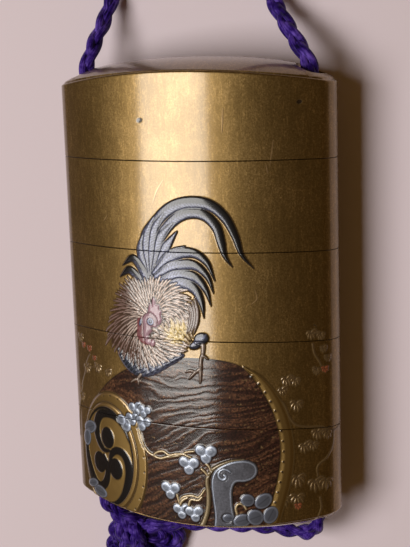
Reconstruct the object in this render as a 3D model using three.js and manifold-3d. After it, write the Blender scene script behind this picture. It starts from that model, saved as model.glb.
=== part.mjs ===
// An inro: a flat oval case of lacquered wood, made of a lid and four stacked compartments.
// One silk cord holds it together. It runs up a channel in the left end, over in a loop, down
// the channel in the right end and across the underside, and its two ends are tied in a bow.
// The case lies on its back. +X is to the right of the picture side, +Y is towards the lid and
// +Z comes out of the picture side. The origin is under the middle of the case. Millimetres.

import * as THREE from 'three';
import { mergeVertices } from 'three/addons/utils/BufferGeometryUtils.js';
import Module from 'manifold-3d';

// ---- driving dimensions ----
const WIDTH = 55; // across the oval
const DEPTH = 20.4; // through the oval, front to back
const END_RADIUS = 4.13; // of the oval's two rounded ends
const RIM_SPAN = 86.6; // rim to rim, at the middle of the front
const RIM_SAG = 2.6; // the rim is this much nearer the middle at the rounded ends
const CROWN = 2.25; // the domed top and bottom stand this far beyond the rim
const LID_HEIGHT = 16.35; // rim to first joint
const CASE_HEIGHT = 16.8; // joint to joint
const CASES = 4; // the last one is longer and has the domed bottom
const FLAT_WIDTH = 9; // the small flat along the back, on which the case lies still

const WALL = 1.5; // outer wall beside a riser
const RISER_WALL = 1.2; // the raised inner lip that plugs into the section above
const RISER_HEIGHT = 5;
const FLOOR = 1.8;
const SLACK = 0.3; // between a riser and its socket, and at every joint
const CROWN_WALL = 2.4; // thickness of the domed top and bottom
const SOCKET_HALF_WIDTH = 20; // the sockets stop short of the cord channels

const CHANNEL_X = 23; // the cord channels, one in each end
const CHANNEL_RADIUS = 1.95;
const MOUTH_RADIUS = 2.75; // a channel flares at the top and at the bottom of the case
const MOUTH_DEPTH = 3;

const CORD_RADIUS = 1.5;
const CORD_SIDES = 8;
const CORD_STEPS = 78;

// ---- worked out from them ----
const HALF_WIDTH = WIDTH / 2;
const HALF_DEPTH = DEPTH / 2;
const ARC_RADIUS = ((HALF_WIDTH - END_RADIUS) ** 2 + HALF_DEPTH ** 2 - END_RADIUS ** 2)
  / (2 * (HALF_DEPTH - END_RADIUS));
const FLAT_DEPTH = ARC_RADIUS - Math.sqrt(ARC_RADIUS ** 2 - (FLAT_WIDTH / 2) ** 2);
const MIDDLE_Z = HALF_DEPTH - FLAT_DEPTH;
const RIM_Y = RIM_SPAN / 2;
const SOCKET = {
  halfWidth: SOCKET_HALF_WIDTH, halfDepth: HALF_DEPTH - WALL, endRadius: 4.9,
};
const RISER = inset(SOCKET, SLACK);
const HOLLOW = inset(RISER, RISER_WALL);
const OUTSIDE = { halfWidth: HALF_WIDTH, halfDepth: HALF_DEPTH, endRadius: END_RADIUS };

const GOLD_LACQUER = new THREE.MeshStandardMaterial({ color: '#9c7a3c', roughness: 0.38, metalness: 0.7 });
const SILK = new THREE.MeshStandardMaterial({ color: '#3a2a86', roughness: 0.75, metalness: 0 });

const wasm = await Module();
wasm.setup();

// ---- solids ----
function solidOf(geometry) {
  const bare = new THREE.BufferGeometry();
  bare.setAttribute('position', geometry.getAttribute('position'));
  bare.setIndex(geometry.getIndex());
  const merged = mergeVertices(bare, 1e-4);
  return new wasm.Manifold(new wasm.Mesh({
    numProp: 3,
    vertProperties: new Float32Array(merged.getAttribute('position').array),
    triVerts: new Uint32Array(merged.getIndex().array),
  }));
}

function geometryOf(solid) {
  const { vertProperties, triVerts } = solid.getMesh();
  const geometry = new THREE.BufferGeometry();
  geometry.setAttribute('position', new THREE.BufferAttribute(new Float32Array(vertProperties), 3));
  geometry.setIndex(new THREE.BufferAttribute(new Uint32Array(triVerts), 1));
  geometry.computeVertexNormals();
  return geometry;
}

function cut(solid, ...tools) {
  return tools.reduce((left, tool) => left.subtract(tool), solid);
}

function join(first, ...others) {
  return others.reduce((whole, other) => whole.add(other), first);
}

// ---- the oval: two shallow arcs, front and back, joined by two small round ends ----
function inset(oval, by) {
  return {
    halfWidth: oval.halfWidth - by, halfDepth: oval.halfDepth - by, endRadius: oval.endRadius - by,
  };
}

function arcsOf({ halfWidth, halfDepth, endRadius }) {
  const endX = halfWidth - endRadius;
  const radius = (endX ** 2 + halfDepth ** 2 - endRadius ** 2) / (2 * (halfDepth - endRadius));
  return { endX, radius, turn: Math.atan2(endX, radius - halfDepth) };
}

// Points [x, z] round the oval, z measured from its own middle, clockwise seen from +Y.
function ovalPoints(oval, arcSteps = 19, endSteps = 8) {
  const { endX, radius, turn } = arcsOf(oval);
  const points = [];
  for (const side of [1, -1]) {
    for (let i = 0; i < arcSteps; i++) {
      const angle = turn * ((2 * i) / arcSteps - 1);
      points.push([side * radius * Math.sin(angle), side * (oval.halfDepth - radius + radius * Math.cos(angle))]);
    }
    for (let i = 0; i < endSteps; i++) {
      const angle = turn + ((Math.PI - 2 * turn) * i) / endSteps;
      points.push([side * (endX + oval.endRadius * Math.sin(angle)), side * oval.endRadius * Math.cos(angle)]);
    }
  }
  return points;
}

function outsidePoints() {
  return ovalPoints(OUTSIDE).map(([x, z]) => [x, Math.max(z, -MIDDLE_Z)]);
}

function prism(points, fromY, toY) {
  const shape = new THREE.Shape(points.map(([x, z]) => new THREE.Vector2(x, -z)));
  const geometry = new THREE.ExtrudeGeometry(shape, { depth: toY - fromY, bevelEnabled: false });
  geometry.rotateX(-Math.PI / 2);
  geometry.translate(0, fromY, MIDDLE_Z);
  return solidOf(geometry);
}

// ---- the domed top; the bottom is its mirror image ----
function halfDepthAt(x) {
  const { endX, radius } = arcsOf(OUTSIDE);
  const across = Math.min(Math.abs(x), HALF_WIDTH);
  const onArc = across <= endX;
  return onArc
    ? HALF_DEPTH - radius + Math.sqrt(radius ** 2 - across ** 2)
    : Math.sqrt(Math.max(END_RADIUS ** 2 - (across - endX) ** 2, 0));
}

function domeY(x, z) {
  const rim = RIM_Y - RIM_SAG * (x / HALF_WIDTH) ** 2;
  const alongCrest = 1 - Math.abs(x / HALF_WIDTH) ** 6;
  const acrossCrest = 1 - Math.min(1, (z / Math.max(halfDepthAt(x), 0.01)) ** 2);
  return rim + CROWN * alongCrest * acrossCrest;
}

function domedPrism(points, flatY, below) {
  const ringScales = [1, 0.86, 0.68, 0.45, 0.2];
  const rings = [points.map(([x, z]) => [x, flatY, z])];
  for (const scale of ringScales) {
    rings.push(points.map(([x, z]) => [x * scale, domeY(x * scale, z * scale) - below, z * scale]));
  }
  const count = points.length;
  const flatMiddle = rings.length * count;
  const vertices = [...rings.flat(), [0, flatY, 0], [0, domeY(0, 0) - below, 0]];
  const faces = [];
  for (let i = 0; i < count; i++) {
    const next = (i + 1) % count;
    faces.push([flatMiddle, next, i]);
    for (let ring = 0; ring < rings.length - 1; ring++) {
      const low = ring * count;
      const high = low + count;
      faces.push([low + i, low + next, high + next], [low + i, high + next, high + i]);
    }
    const last = (rings.length - 1) * count;
    faces.push([last + i, last + next, flatMiddle + 1]);
  }
  const geometry = new THREE.BufferGeometry();
  geometry.setAttribute('position', new THREE.Float32BufferAttribute(vertices.flat(), 3));
  geometry.setIndex(faces.flat());
  geometry.translate(0, 0, MIDDLE_Z);
  return geometry;
}

function mirroredInY(geometry) {
  geometry.scale(1, -1, 1);
  const index = geometry.getIndex().array;
  for (let i = 0; i < index.length; i += 3) {
    [index[i], index[i + 1]] = [index[i + 1], index[i]];
  }
  return geometry;
}

// ---- the cord channels ----
function channels(fromY, toY) {
  return [-1, 1].map((side) => {
    const bore = new THREE.CylinderGeometry(CHANNEL_RADIUS, CHANNEL_RADIUS, toY - fromY, 16);
    bore.translate(side * CHANNEL_X, (fromY + toY) / 2, MIDDLE_Z);
    return solidOf(bore);
  });
}

function mouths(end) {
  const mouthY = domeY(CHANNEL_X, 0);
  const beyond = 1;
  const slope = (MOUTH_RADIUS - CHANNEL_RADIUS) / MOUTH_DEPTH;
  return [-1, 1].map((side) => {
    const wide = MOUTH_RADIUS + slope * beyond;
    const flare = new THREE.CylinderGeometry(
      end > 0 ? wide : CHANNEL_RADIUS, end > 0 ? CHANNEL_RADIUS : wide, MOUTH_DEPTH + beyond, 16,
    );
    flare.translate(side * CHANNEL_X, end * (mouthY + (beyond - MOUTH_DEPTH) / 2), MIDDLE_Z);
    return solidOf(flare);
  });
}

// ---- the sections ----
const joints = Array.from({ length: CASES }, (_, i) => RIM_Y - LID_HEIGHT - i * CASE_HEIGHT);
const FAR = RIM_Y + 10;

function lid() {
  const bottomY = joints[0] + SLACK / 2;
  const body = solidOf(domedPrism(outsidePoints(), bottomY, 0));
  const socket = prism(ovalPoints(SOCKET), bottomY - 1, bottomY + RISER_HEIGHT + SLACK);
  const hollow = solidOf(domedPrism(ovalPoints(HOLLOW), bottomY - 1, CROWN_WALL));
  return cut(body, socket, hollow, ...channels(-FAR, FAR), ...mouths(1));
}

function riserOn(topY) {
  return prism(ovalPoints(RISER), topY - 1, topY + RISER_HEIGHT);
}

function middleCase(topJoint, bottomJoint) {
  const topY = topJoint - SLACK / 2;
  const bottomY = bottomJoint + SLACK / 2;
  const socketTop = bottomY + RISER_HEIGHT + SLACK;
  const body = join(prism(outsidePoints(), bottomY, topY), riserOn(topY));
  const socket = prism(ovalPoints(SOCKET), bottomY - 1, socketTop);
  const hollow = prism(ovalPoints(HOLLOW), socketTop + FLOOR, topY + RISER_HEIGHT + 1);
  return cut(body, socket, hollow, ...channels(-FAR, FAR));
}

function bottomCase(topJoint) {
  const topY = topJoint - SLACK / 2;
  const body = solidOf(mirroredInY(domedPrism(outsidePoints(), -topY, 0)));
  const hollow = solidOf(mirroredInY(domedPrism(ovalPoints(HOLLOW), -topY - RISER_HEIGHT - 1, CROWN_WALL)));
  return cut(join(body, riserOn(topY)), hollow, ...channels(-FAR, FAR), ...mouths(-1));
}

// ---- the cord ----
function tube(points, steps, radius = CORD_RADIUS) {
  const round = Array.from({ length: CORD_SIDES }, (_, i) => {
    const angle = ((i + 0.5) * 2 * Math.PI) / CORD_SIDES;
    return new THREE.Vector2(radius * Math.cos(angle), radius * Math.sin(angle));
  });
  const path = new THREE.CatmullRomCurve3(points.map((p) => new THREE.Vector3(...p)), false, 'centripetal');
  return new THREE.ExtrudeGeometry(new THREE.Shape(round), { steps, extrudePath: path, bevelEnabled: false });
}

// From the bow into the left channel, up, round the loop beyond the lid, down the right
// channel and back under the case to the bow.
const CORD_ROUTE = [
  [-21.9, -49.5, 5.6], [-23.1, -46.4, 8.2], [-23, -42, 9.9],
  [-23, -36, 10], [-23, -20, 10], [-23, 0, 10], [-23, 20, 10], [-23, 36, 10],
  [-22.9, 40.5, 10], [-22.4, 44, 9.8], [-21.5, 48, 8.2], [-20.6, 52.4, 5.2], [-19.6, 57, 2.9],
  [-17.6, 63, 1.8], [-14, 72, 1.6], [-9.6, 82, 1.6], [-5.6, 92, 1.6], [-3.4, 102, 1.6],
  [-2.6, 112, 1.6], [-3.2, 122, 1.6], [-5.4, 131, 1.6], [-6.3, 139, 1.6], [-4.3, 145.4, 1.6],
  [0.4, 147.8, 1.6], [5, 145, 1.6], [6.6, 138.6, 1.6], [5.2, 130, 1.6], [2.6, 121, 1.6],
  [1.3, 112, 1.6], [1.6, 102, 1.6], [2.5, 92, 1.6], [4.1, 82, 1.6], [6.6, 72, 1.6],
  [10.2, 62.5, 1.8], [13.3, 56, 3.1], [16.4, 51.6, 5.4], [19.8, 47.4, 8.2], [22.3, 43.9, 9.8],
  [22.9, 40, 10],
  [23, 36, 10], [23, 20, 10], [23, 0, 10], [23, -20, 10], [23, -36, 10],
  [23, -41, 10], [22.8, -43.6, 9.8], [21.9, -45.7, 9], [20.2, -47.2, 7.9], [17.7, -47.9, 6.7],
  [14.2, -48, 5.9], [9.8, -48.2, 5.5], [5.2, -48.6, 5.3], [0.6, -49, 5.4], [-3.8, -49.2, 5.8],
  [-7.6, -49.4, 6.2], [-11, -50, 6.5], [-15, -51, 6.4],
];

// The bow: a round knot with two loops and two short ends, as one closed solid.
const KNOT = [-19.2, -53, 4.4];

function bow() {
  const [x, y, z] = KNOT;
  const body = new THREE.SphereGeometry(1, 14, 10);
  body.scale(3.6, 3.9, 3.6);
  body.translate(x, y, z);
  const rightLoop = [
    [x + 1, y - 1.4, z - 1], [x + 4.6, y - 1, 2.4], [x + 9, y + 0.2, 1.9], [x + 11.4, y - 2.4, 1.7],
    [x + 9.6, y - 5.8, 1.7], [x + 5, y - 5.2, 2], [x + 1, y - 2.4, z - 1],
  ];
  const leftLoop = [
    [x - 1, y - 1, z - 0.6], [x - 4, y - 1.6, 3], [x - 6.6, y - 5, 2.2], [x - 7.6, y - 10, 1.7],
    [x - 4.8, y - 12.6, 1.7], [x - 2, y - 9.4, 1.8], [x - 0.8, y - 3, z - 1],
  ];
  const leftEnd = [[x - 1, y - 2, z], [x - 0.6, y - 7, 2.6], [x + 1.2, y - 13, 1.7], [x + 1.6, y - 19, 1.6]];
  const rightEnd = [[x + 1, y - 2, z], [x + 4, y - 8, 2.6], [x + 6.6, y - 12.6, 1.7], [x + 8.4, y - 17, 1.6]];
  return join(
    solidOf(body),
    solidOf(tube(rightLoop, 12)), solidOf(tube(leftLoop, 14)),
    solidOf(tube(leftEnd, 6)), solidOf(tube(rightEnd, 6)),
  );
}

// ---- the object ----
const inro = new THREE.Group();

function add(name, geometry, material) {
  const mesh = new THREE.Mesh(geometry, material);
  mesh.name = name;
  inro.add(mesh);
}

add('lid', geometryOf(lid()), GOLD_LACQUER);
for (let i = 0; i < CASES - 1; i++) {
  add(`case_${i + 1}`, geometryOf(middleCase(joints[i], joints[i + 1])), GOLD_LACQUER);
}
add(`case_${CASES}`, geometryOf(bottomCase(joints[CASES - 1])), GOLD_LACQUER);
add('cord', tube(CORD_ROUTE, CORD_STEPS), SILK);
add('bow_knot', geometryOf(bow()), SILK);

export default inro;
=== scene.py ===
"""The looks of a gold lacquer inro: its smooth sections with their low relief picture, and its
plaited silk cord with the bow below. Lengths are in millimetres until a mesh is made of them."""

import math
from collections import namedtuple

import bpy
import numpy as np
from mathutils import Matrix, Vector


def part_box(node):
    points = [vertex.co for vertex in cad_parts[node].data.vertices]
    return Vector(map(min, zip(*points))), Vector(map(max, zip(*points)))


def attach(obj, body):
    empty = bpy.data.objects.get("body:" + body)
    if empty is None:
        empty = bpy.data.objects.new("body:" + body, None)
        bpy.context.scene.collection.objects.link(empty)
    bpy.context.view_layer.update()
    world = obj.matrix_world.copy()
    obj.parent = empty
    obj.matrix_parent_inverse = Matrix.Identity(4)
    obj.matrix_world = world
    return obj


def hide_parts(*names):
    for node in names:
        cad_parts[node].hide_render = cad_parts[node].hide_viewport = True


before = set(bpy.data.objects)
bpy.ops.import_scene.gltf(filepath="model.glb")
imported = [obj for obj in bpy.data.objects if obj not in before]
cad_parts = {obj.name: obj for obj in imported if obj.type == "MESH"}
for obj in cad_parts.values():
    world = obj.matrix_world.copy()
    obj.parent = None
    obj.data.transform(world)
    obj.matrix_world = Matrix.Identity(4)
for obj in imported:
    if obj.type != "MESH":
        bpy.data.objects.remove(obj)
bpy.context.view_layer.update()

MM = 0.001
CASES = ["case_1", "case_2", "case_3", "case_4"]


def corner_mm(node, which, axis):
    """One number of a CAD node's box: which is 0 for low and 1 for high."""
    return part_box(node)[which][axis] / MM


# ---- sizes of the case, from the frame where it gives them ----
HALF_WIDTH = corner_mm("lid", 1, 0)
FRONT_Z = corner_mm("lid", 1, 2)
HALF_DEPTH = 10.2
MIDDLE_Z = FRONT_Z - HALF_DEPTH
END_RADIUS = 4.13
TOP_Y = corner_mm("lid", 1, 1)
CROWN = 2.25
RIM_SAG = 2.6
RIM_Y = TOP_Y - CROWN
RIM_BEVEL = 0.4
JOINT_BEVEL = 0.07
JOINT_GAP = 0.10
RISER_HEIGHT = 5.0
SLACK = 0.3
FLOOR = 1.8
CROWN_WALL = 2.4
RISER_WALL = 1.2
CHANNEL_X = 23.0
CHANNEL_RADIUS = 1.95
MOUTH_RADIUS = 2.75
MOUTH_DEPTH = 3.0
CORD_DIAMETER = 3.0
JOINTS = [corner_mm("lid", 0, 1) - SLACK / 2]
for case in CASES[1:]:
    JOINTS.append(corner_mm(case, 1, 1) - RISER_HEIGHT + SLACK / 2)


# ---- camera ----
CAMERA_AT = (86.2, 49.3, 223.5)
CAMERA_TARGET = (0.9, 4.2, 9.9)
CAMERA_ROLL = math.radians(1.85)
CAMERA_LENS = 79.94


def aimed(at, ahead, roll=0.0):
    """The matrix of a thing that looks along ahead, with +Y of the frame upwards in its view."""
    ahead = Vector(ahead).normalized()
    right = ahead.cross(Vector((0, 1, 0))).normalized()
    up = right.cross(ahead)
    turned_right = right * math.cos(roll) - up * math.sin(roll)
    turned_up = up * math.cos(roll) + right * math.sin(roll)
    axes = Matrix((turned_right, turned_up, -ahead)).transposed().to_4x4()
    return Matrix.Translation(Vector(at) * MM) @ axes


def add_camera():
    data = bpy.data.cameras.new("camera")
    data.lens = CAMERA_LENS
    data.sensor_width = 36
    data.clip_start = 0.01
    camera = bpy.data.objects.new("camera", data)
    ahead = Vector(CAMERA_TARGET) - Vector(CAMERA_AT)
    camera.matrix_world = aimed(CAMERA_AT, ahead, CAMERA_ROLL)
    bpy.context.scene.collection.objects.link(camera)
    bpy.context.scene.camera = camera


add_camera()

# ---- the cord's route, the same points as in the CAD source ----
CORD_ROUTE = [
    [-21.9, -49.5, 5.6], [-23.1, -46.4, 8.2], [-23, -42, 9.9],
    [-23, -36, 10], [-23, -20, 10], [-23, 0, 10], [-23, 20, 10], [-23, 36, 10],
    [-22.9, 40.5, 10], [-22.4, 44, 9.8], [-21.5, 48, 8.2], [-20.6, 52.4, 5.2], [-19.6, 57, 2.9],
    [-17.6, 63, 1.8], [-14, 72, 1.6], [-9.6, 82, 1.6], [-5.6, 92, 1.6], [-3.4, 102, 1.6],
    [-2.6, 112, 1.6], [-3.2, 122, 1.6], [-5.4, 131, 1.6], [-6.3, 139, 1.6], [-4.3, 145.4, 1.6],
    [0.4, 147.8, 1.6], [5, 145, 1.6], [6.6, 138.6, 1.6], [5.2, 130, 1.6], [2.6, 121, 1.6],
    [1.3, 112, 1.6], [1.6, 102, 1.6], [2.5, 92, 1.6], [4.1, 82, 1.6], [6.6, 72, 1.6],
    [10.2, 62.5, 1.8], [13.3, 56, 3.1], [16.4, 51.6, 5.4], [19.8, 47.4, 8.2], [22.3, 43.9, 9.8],
    [22.9, 40, 10],
    [23, 36, 10], [23, 20, 10], [23, 0, 10], [23, -20, 10], [23, -36, 10],
    [23, -41, 10], [22.8, -43.6, 9.8], [21.9, -45.7, 9], [20.2, -47.2, 7.9], [17.7, -47.9, 6.7],
    [14.2, -48, 5.9], [9.8, -48.2, 5.5], [5.2, -48.6, 5.3], [0.6, -49, 5.4], [-3.8, -49.2, 5.8],
    [-7.6, -49.4, 6.2], [-11, -50, 6.5], [-15, -51, 6.4],
]


def smooth_line(points, step):
    """Points about step apart on a centripetal Catmull-Rom curve through the given ones."""
    given = np.array(points, float)
    first = 2 * given[0] - given[1]
    last = 2 * given[-1] - given[-2]
    padded = np.vstack([first, given, last])
    stretches = []
    for i in range(1, len(padded) - 2):
        a, b, c, d = padded[i - 1:i + 3]
        knots = np.cumsum([0] + [math.sqrt(np.linalg.norm(q - p)) for p, q in ((a, b), (b, c), (c, d))])
        count = max(2, int(np.linalg.norm(c - b) / step * 4))
        t = np.linspace(knots[1], knots[2], count, endpoint=False)[:, None]
        t0, t1, t2, t3 = knots
        p1 = (t1 - t) / (t1 - t0) * a + (t - t0) / (t1 - t0) * b
        p2 = (t2 - t) / (t2 - t1) * b + (t - t1) / (t2 - t1) * c
        p3 = (t3 - t) / (t3 - t2) * c + (t - t2) / (t3 - t2) * d
        q1 = (t2 - t) / (t2 - t0) * p1 + (t - t0) / (t2 - t0) * p2
        q2 = (t3 - t) / (t3 - t1) * p2 + (t - t1) / (t3 - t1) * p3
        stretches.append((t2 - t) / (t2 - t1) * q1 + (t - t1) / (t2 - t1) * q2)
    line = np.vstack([*stretches, given[-1:]])
    along = np.concatenate([[0], np.cumsum(np.linalg.norm(np.diff(line, axis=0), axis=1))])
    at = np.linspace(0, along[-1], max(2, round(along[-1] / step) + 1))
    return np.stack([np.interp(at, along, line[:, k]) for k in range(3)], axis=1)


# ---- the oval section ----
def inset(oval, by):
    return tuple(size - by for size in oval)


OUTSIDE = (HALF_WIDTH, HALF_DEPTH, END_RADIUS)
SOCKET = (20.0, 8.7, 4.9)
RISER = inset(SOCKET, SLACK)
HOLLOW = inset(RISER, RISER_WALL)


def arcs_of(oval):
    """Where the round ends are centred, the radius of the shallow arcs, and half their angle."""
    half_width, half_depth, end_radius = oval
    end_x = half_width - end_radius
    radius = (end_x**2 + half_depth**2 - end_radius**2) / (2 * (half_depth - end_radius))
    return end_x, radius, math.atan2(end_x, radius - half_depth)


END_X, ARC_RADIUS, ARC_TURN = arcs_of(OUTSIDE)
FRONT_LENGTH = 2 * ARC_RADIUS * ARC_TURN
END_LENGTH = END_RADIUS * (math.pi - 2 * ARC_TURN)
ROUND = 2 * (FRONT_LENGTH + END_LENGTH)
FINE_STEP, COARSE_STEP, ROW_STEP = 0.14, 0.5, 0.15
DOME_SCALES = [0.97, 0.955, 0.93, 0.9, 0.86, 0.8, 0.73, 0.65, 0.56, 0.46, 0.35, 0.23, 0.1]
INNER_SCALES = [1, 0.9, 0.75, 0.5, 0.25]


def columns():
    """Arc lengths round the outside from the middle of the front, close together at the front."""
    front_half = FRONT_LENGTH / 2 + END_LENGTH * 0.6
    front = np.arange(-front_half, front_half, FINE_STEP)
    back_count = int((ROUND - 2 * front_half) / COARSE_STEP)
    back = np.linspace(front_half, ROUND - front_half, back_count, endpoint=False)
    return np.concatenate([front, back])


def on_oval(oval, s):
    """x, z and the outward normal at the places on this oval that match arc lengths s outside."""
    end_x, radius, turn = arcs_of(oval)
    half_depth, end_radius = oval[1], oval[2]
    s = (np.asarray(s, float) + FRONT_LENGTH / 2) % ROUND
    x, z, nx, nz = (np.zeros_like(s) for _ in range(4))
    starts = np.cumsum([0, FRONT_LENGTH, END_LENGTH, FRONT_LENGTH, END_LENGTH])
    for arc in range(4):
        here = (s >= starts[arc]) & (s < starts[arc + 1] + 1e-9)
        share = (s[here] - starts[arc]) / (starts[arc + 1] - starts[arc])
        side = 1 if arc < 2 else -1
        if arc % 2 == 0:
            angle = turn * (2 * share - 1)
            x[here] = side * radius * np.sin(angle)
            z[here] = side * (half_depth - radius + radius * np.cos(angle))
        else:
            angle = turn + (math.pi - 2 * turn) * share
            x[here] = side * (end_x + end_radius * np.sin(angle))
            z[here] = side * end_radius * np.cos(angle)
        nx[here], nz[here] = side * np.sin(angle), side * np.cos(angle)
    return x, z, nx, nz


def half_depth_at(x):
    across = np.minimum(np.abs(x), HALF_WIDTH)
    arc = HALF_DEPTH - ARC_RADIUS + np.sqrt(np.maximum(ARC_RADIUS**2 - across**2, 0))
    end = np.sqrt(np.maximum(END_RADIUS**2 - (across - END_X) ** 2, 0))
    return np.where(across <= END_X, arc, end)


def rim_y(x):
    return RIM_Y - RIM_SAG * (x / HALF_WIDTH) ** 2


def dome_y(x, z):
    """Height of the domed top over a place in the oval, z measured from the oval's middle."""
    along = 1 - np.abs(x / HALF_WIDTH) ** 6
    across = 1 - np.minimum(1, (z / np.maximum(half_depth_at(x), 0.01)) ** 2)
    return rim_y(x) + CROWN * along * across


# ---- meshes ----
COLUMNS = columns()


def flat_backed(points):
    """The back is flattened a little where the case lies."""
    points[:, 2] = np.maximum(points[:, 2], 0)
    return points


def ring(oval, y, grow=0.0):
    """A ring of points at height y, which may differ from point to point."""
    x, z, nx, nz = on_oval(oval, COLUMNS)
    heights = np.broadcast_to(y, x.shape)
    return flat_backed(np.stack([x + grow * nx, heights, z + grow * nz + MIDDLE_Z], axis=1))


def link(obj):
    bpy.context.scene.collection.objects.link(obj)
    return obj


def mesh_object(name, points, faces, material):
    mesh = bpy.data.meshes.new(name)
    mesh.from_pydata(np.asarray(points) * MM, [], faces)
    mesh.materials.append(material)
    mesh.validate()
    mesh.update()
    return link(bpy.data.objects.new(name, mesh))


def ring_faces(ring_count, around):
    """Quads between rings, and fans to the two poles, whose points come last."""
    faces = []
    turn = np.arange(around)
    after = (turn + 1) % around
    for i in range(ring_count - 1):
        low, high = i * around, (i + 1) * around
        faces += np.stack([low + turn, low + after, high + after, high + turn], axis=1).tolist()
    pole = ring_count * around
    faces += [[pole, b, a] for a, b in zip(turn.tolist(), after.tolist())]
    last = (ring_count - 1) * around
    faces += [[last + a, last + b, pole + 1] for a, b in zip(turn.tolist(), after.tolist())]
    return faces


def closed_solid(name, rings, poles, material):
    points = np.vstack([*rings, poles])
    return mesh_object(name, points, ring_faces(len(rings), len(COLUMNS)), material)


def wall_rows(low, high):
    """Rings up the outer wall between two heights, which may differ round the oval."""
    count = max(2, round(float(np.max(high - low)) / ROW_STEP) + 1)
    return [ring(OUTSIDE, low + (high - low) * i / (count - 1)) for i in range(count)]


def rounded_edge(y, radius, towards):
    """Rings over a small round edge: towards is +1 at an upper edge and -1 at a lower one."""
    angles = np.radians([22.5, 45, 67.5, 90])
    return [
        ring(OUTSIDE, y - towards * radius * (1 - math.sin(a)), -radius * (1 - math.cos(a)))
        for a in angles
    ]


def dome_rings(oval, below, scales):
    x, z, _, _ = on_oval(oval, COLUMNS)
    return [
        flat_backed(np.stack([x * k, dome_y(x * k, z * k) - below, z * k + MIDDLE_Z], axis=1))
        for k in scales
    ]


def mirrored(rings):
    return [points * np.array([1, -1, 1]) for points in rings]


def socket_rings(bottom):
    """From the ceiling of the socket down to the lower edge of the wall."""
    ceiling = bottom + RISER_HEIGHT + SLACK
    return [ring(SOCKET, ceiling), ring(SOCKET, bottom)]


def riser_rings(top, floor_rings):
    edge = 0.2
    return [
        ring(RISER, top), ring(RISER, top + RISER_HEIGHT - edge),
        ring(inset(RISER, edge), top + RISER_HEIGHT),
        ring(inset(HOLLOW, -edge), top + RISER_HEIGHT), ring(HOLLOW, top + RISER_HEIGHT - edge),
        *floor_rings,
    ]


def middle_section(name, top_joint, bottom_joint, material):
    top, bottom = top_joint - JOINT_GAP / 2, bottom_joint + JOINT_GAP / 2
    ceiling = bottom + RISER_HEIGHT + SLACK
    rings = [
        *socket_rings(bottom),
        *reversed(rounded_edge(bottom, JOINT_BEVEL, -1)),
        *wall_rows(np.float64(bottom + JOINT_BEVEL), np.float64(top - JOINT_BEVEL)),
        *rounded_edge(top, JOINT_BEVEL, 1),
        *riser_rings(top, [ring(HOLLOW, ceiling + FLOOR)]),
    ]
    poles = [[0, ceiling, MIDDLE_Z], [0, ceiling + FLOOR, MIDDLE_Z]]
    return closed_solid(name, rings, poles, material)


def domed_end():
    """The rim's heights, and the rings over its round edge and up the dome."""
    x = on_oval(OUTSIDE, COLUMNS)[0]
    rim = rim_y(x)
    return rim, [*rounded_edge(rim, RIM_BEVEL, 1), *dome_rings(OUTSIDE, 0, DOME_SCALES)]


def lid_section(material):
    bottom = JOINTS[0] + JOINT_GAP / 2
    rim, dome = domed_end()
    ceiling = bottom + RISER_HEIGHT + SLACK
    rings = [
        *reversed(dome_rings(HOLLOW, CROWN_WALL, INNER_SCALES)),
        ring(HOLLOW, ceiling), *socket_rings(bottom),
        *reversed(rounded_edge(bottom, JOINT_BEVEL, -1)),
        *wall_rows(np.float64(bottom + JOINT_BEVEL), rim - RIM_BEVEL),
        *dome,
    ]
    top = float(dome_y(np.float64(0), np.float64(0)))
    poles = [[0, top - CROWN_WALL, MIDDLE_Z], [0, top, MIDDLE_Z]]
    return closed_solid("lid_shell", rings, poles, material)


def bottom_section(material):
    top = JOINTS[-1] - JOINT_GAP / 2
    rim, dome = domed_end()
    floor_rings = mirrored(dome_rings(HOLLOW, CROWN_WALL, INNER_SCALES))
    rings = [
        *reversed(mirrored(dome)),
        *wall_rows(-(rim - RIM_BEVEL), np.float64(top - JOINT_BEVEL)),
        *rounded_edge(top, JOINT_BEVEL, 1),
        *riser_rings(top, floor_rings),
    ]
    low = -float(dome_y(np.float64(0), np.float64(0)))
    poles = [[0, low, MIDDLE_Z], [0, low + CROWN_WALL, MIDDLE_Z]]
    return closed_solid("case_4_shell", rings, poles, material)


# ---- the cord channels, cut through every section ----
def channel_cutter(side):
    mouth = float(dome_y(np.float64(CHANNEL_X), np.float64(0)))
    beyond = 2.0
    slope = (MOUTH_RADIUS - CHANNEL_RADIUS) / MOUTH_DEPTH
    profile = [
        (-mouth - beyond, MOUTH_RADIUS + slope * beyond), (-mouth + MOUTH_DEPTH, CHANNEL_RADIUS),
        (mouth - MOUTH_DEPTH, CHANNEL_RADIUS), (mouth + beyond, MOUTH_RADIUS + slope * beyond),
    ]
    around = 40
    angles = np.arange(around) * 2 * math.pi / around
    points = [
        [side * CHANNEL_X + radius * math.cos(a), y, MIDDLE_Z + radius * math.sin(a)]
        for y, radius in profile for a in angles
    ]
    points += [[side * CHANNEL_X, profile[0][0], MIDDLE_Z], [side * CHANNEL_X, profile[-1][0], MIDDLE_Z]]
    faces = ring_faces(len(profile), around)
    cutter = mesh_object("channel_cutter", points, faces, None)
    face_outwards(cutter)
    return cutter


def face_outwards(obj):
    mesh = obj.data
    mesh.calc_loop_triangles()
    count = len(mesh.loop_triangles)
    corners = np.empty(count * 3, np.int32)
    mesh.loop_triangles.foreach_get("vertices", corners)
    places = np.empty(len(mesh.vertices) * 3, np.float32)
    mesh.vertices.foreach_get("co", places)
    a, b, c = places.reshape(-1, 3)[corners.reshape(-1, 3)].transpose(1, 0, 2).astype(float)
    if np.einsum("ij,ij->i", a, np.cross(b, c)).sum() < 0:
        mesh.flip_normals()


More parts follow.
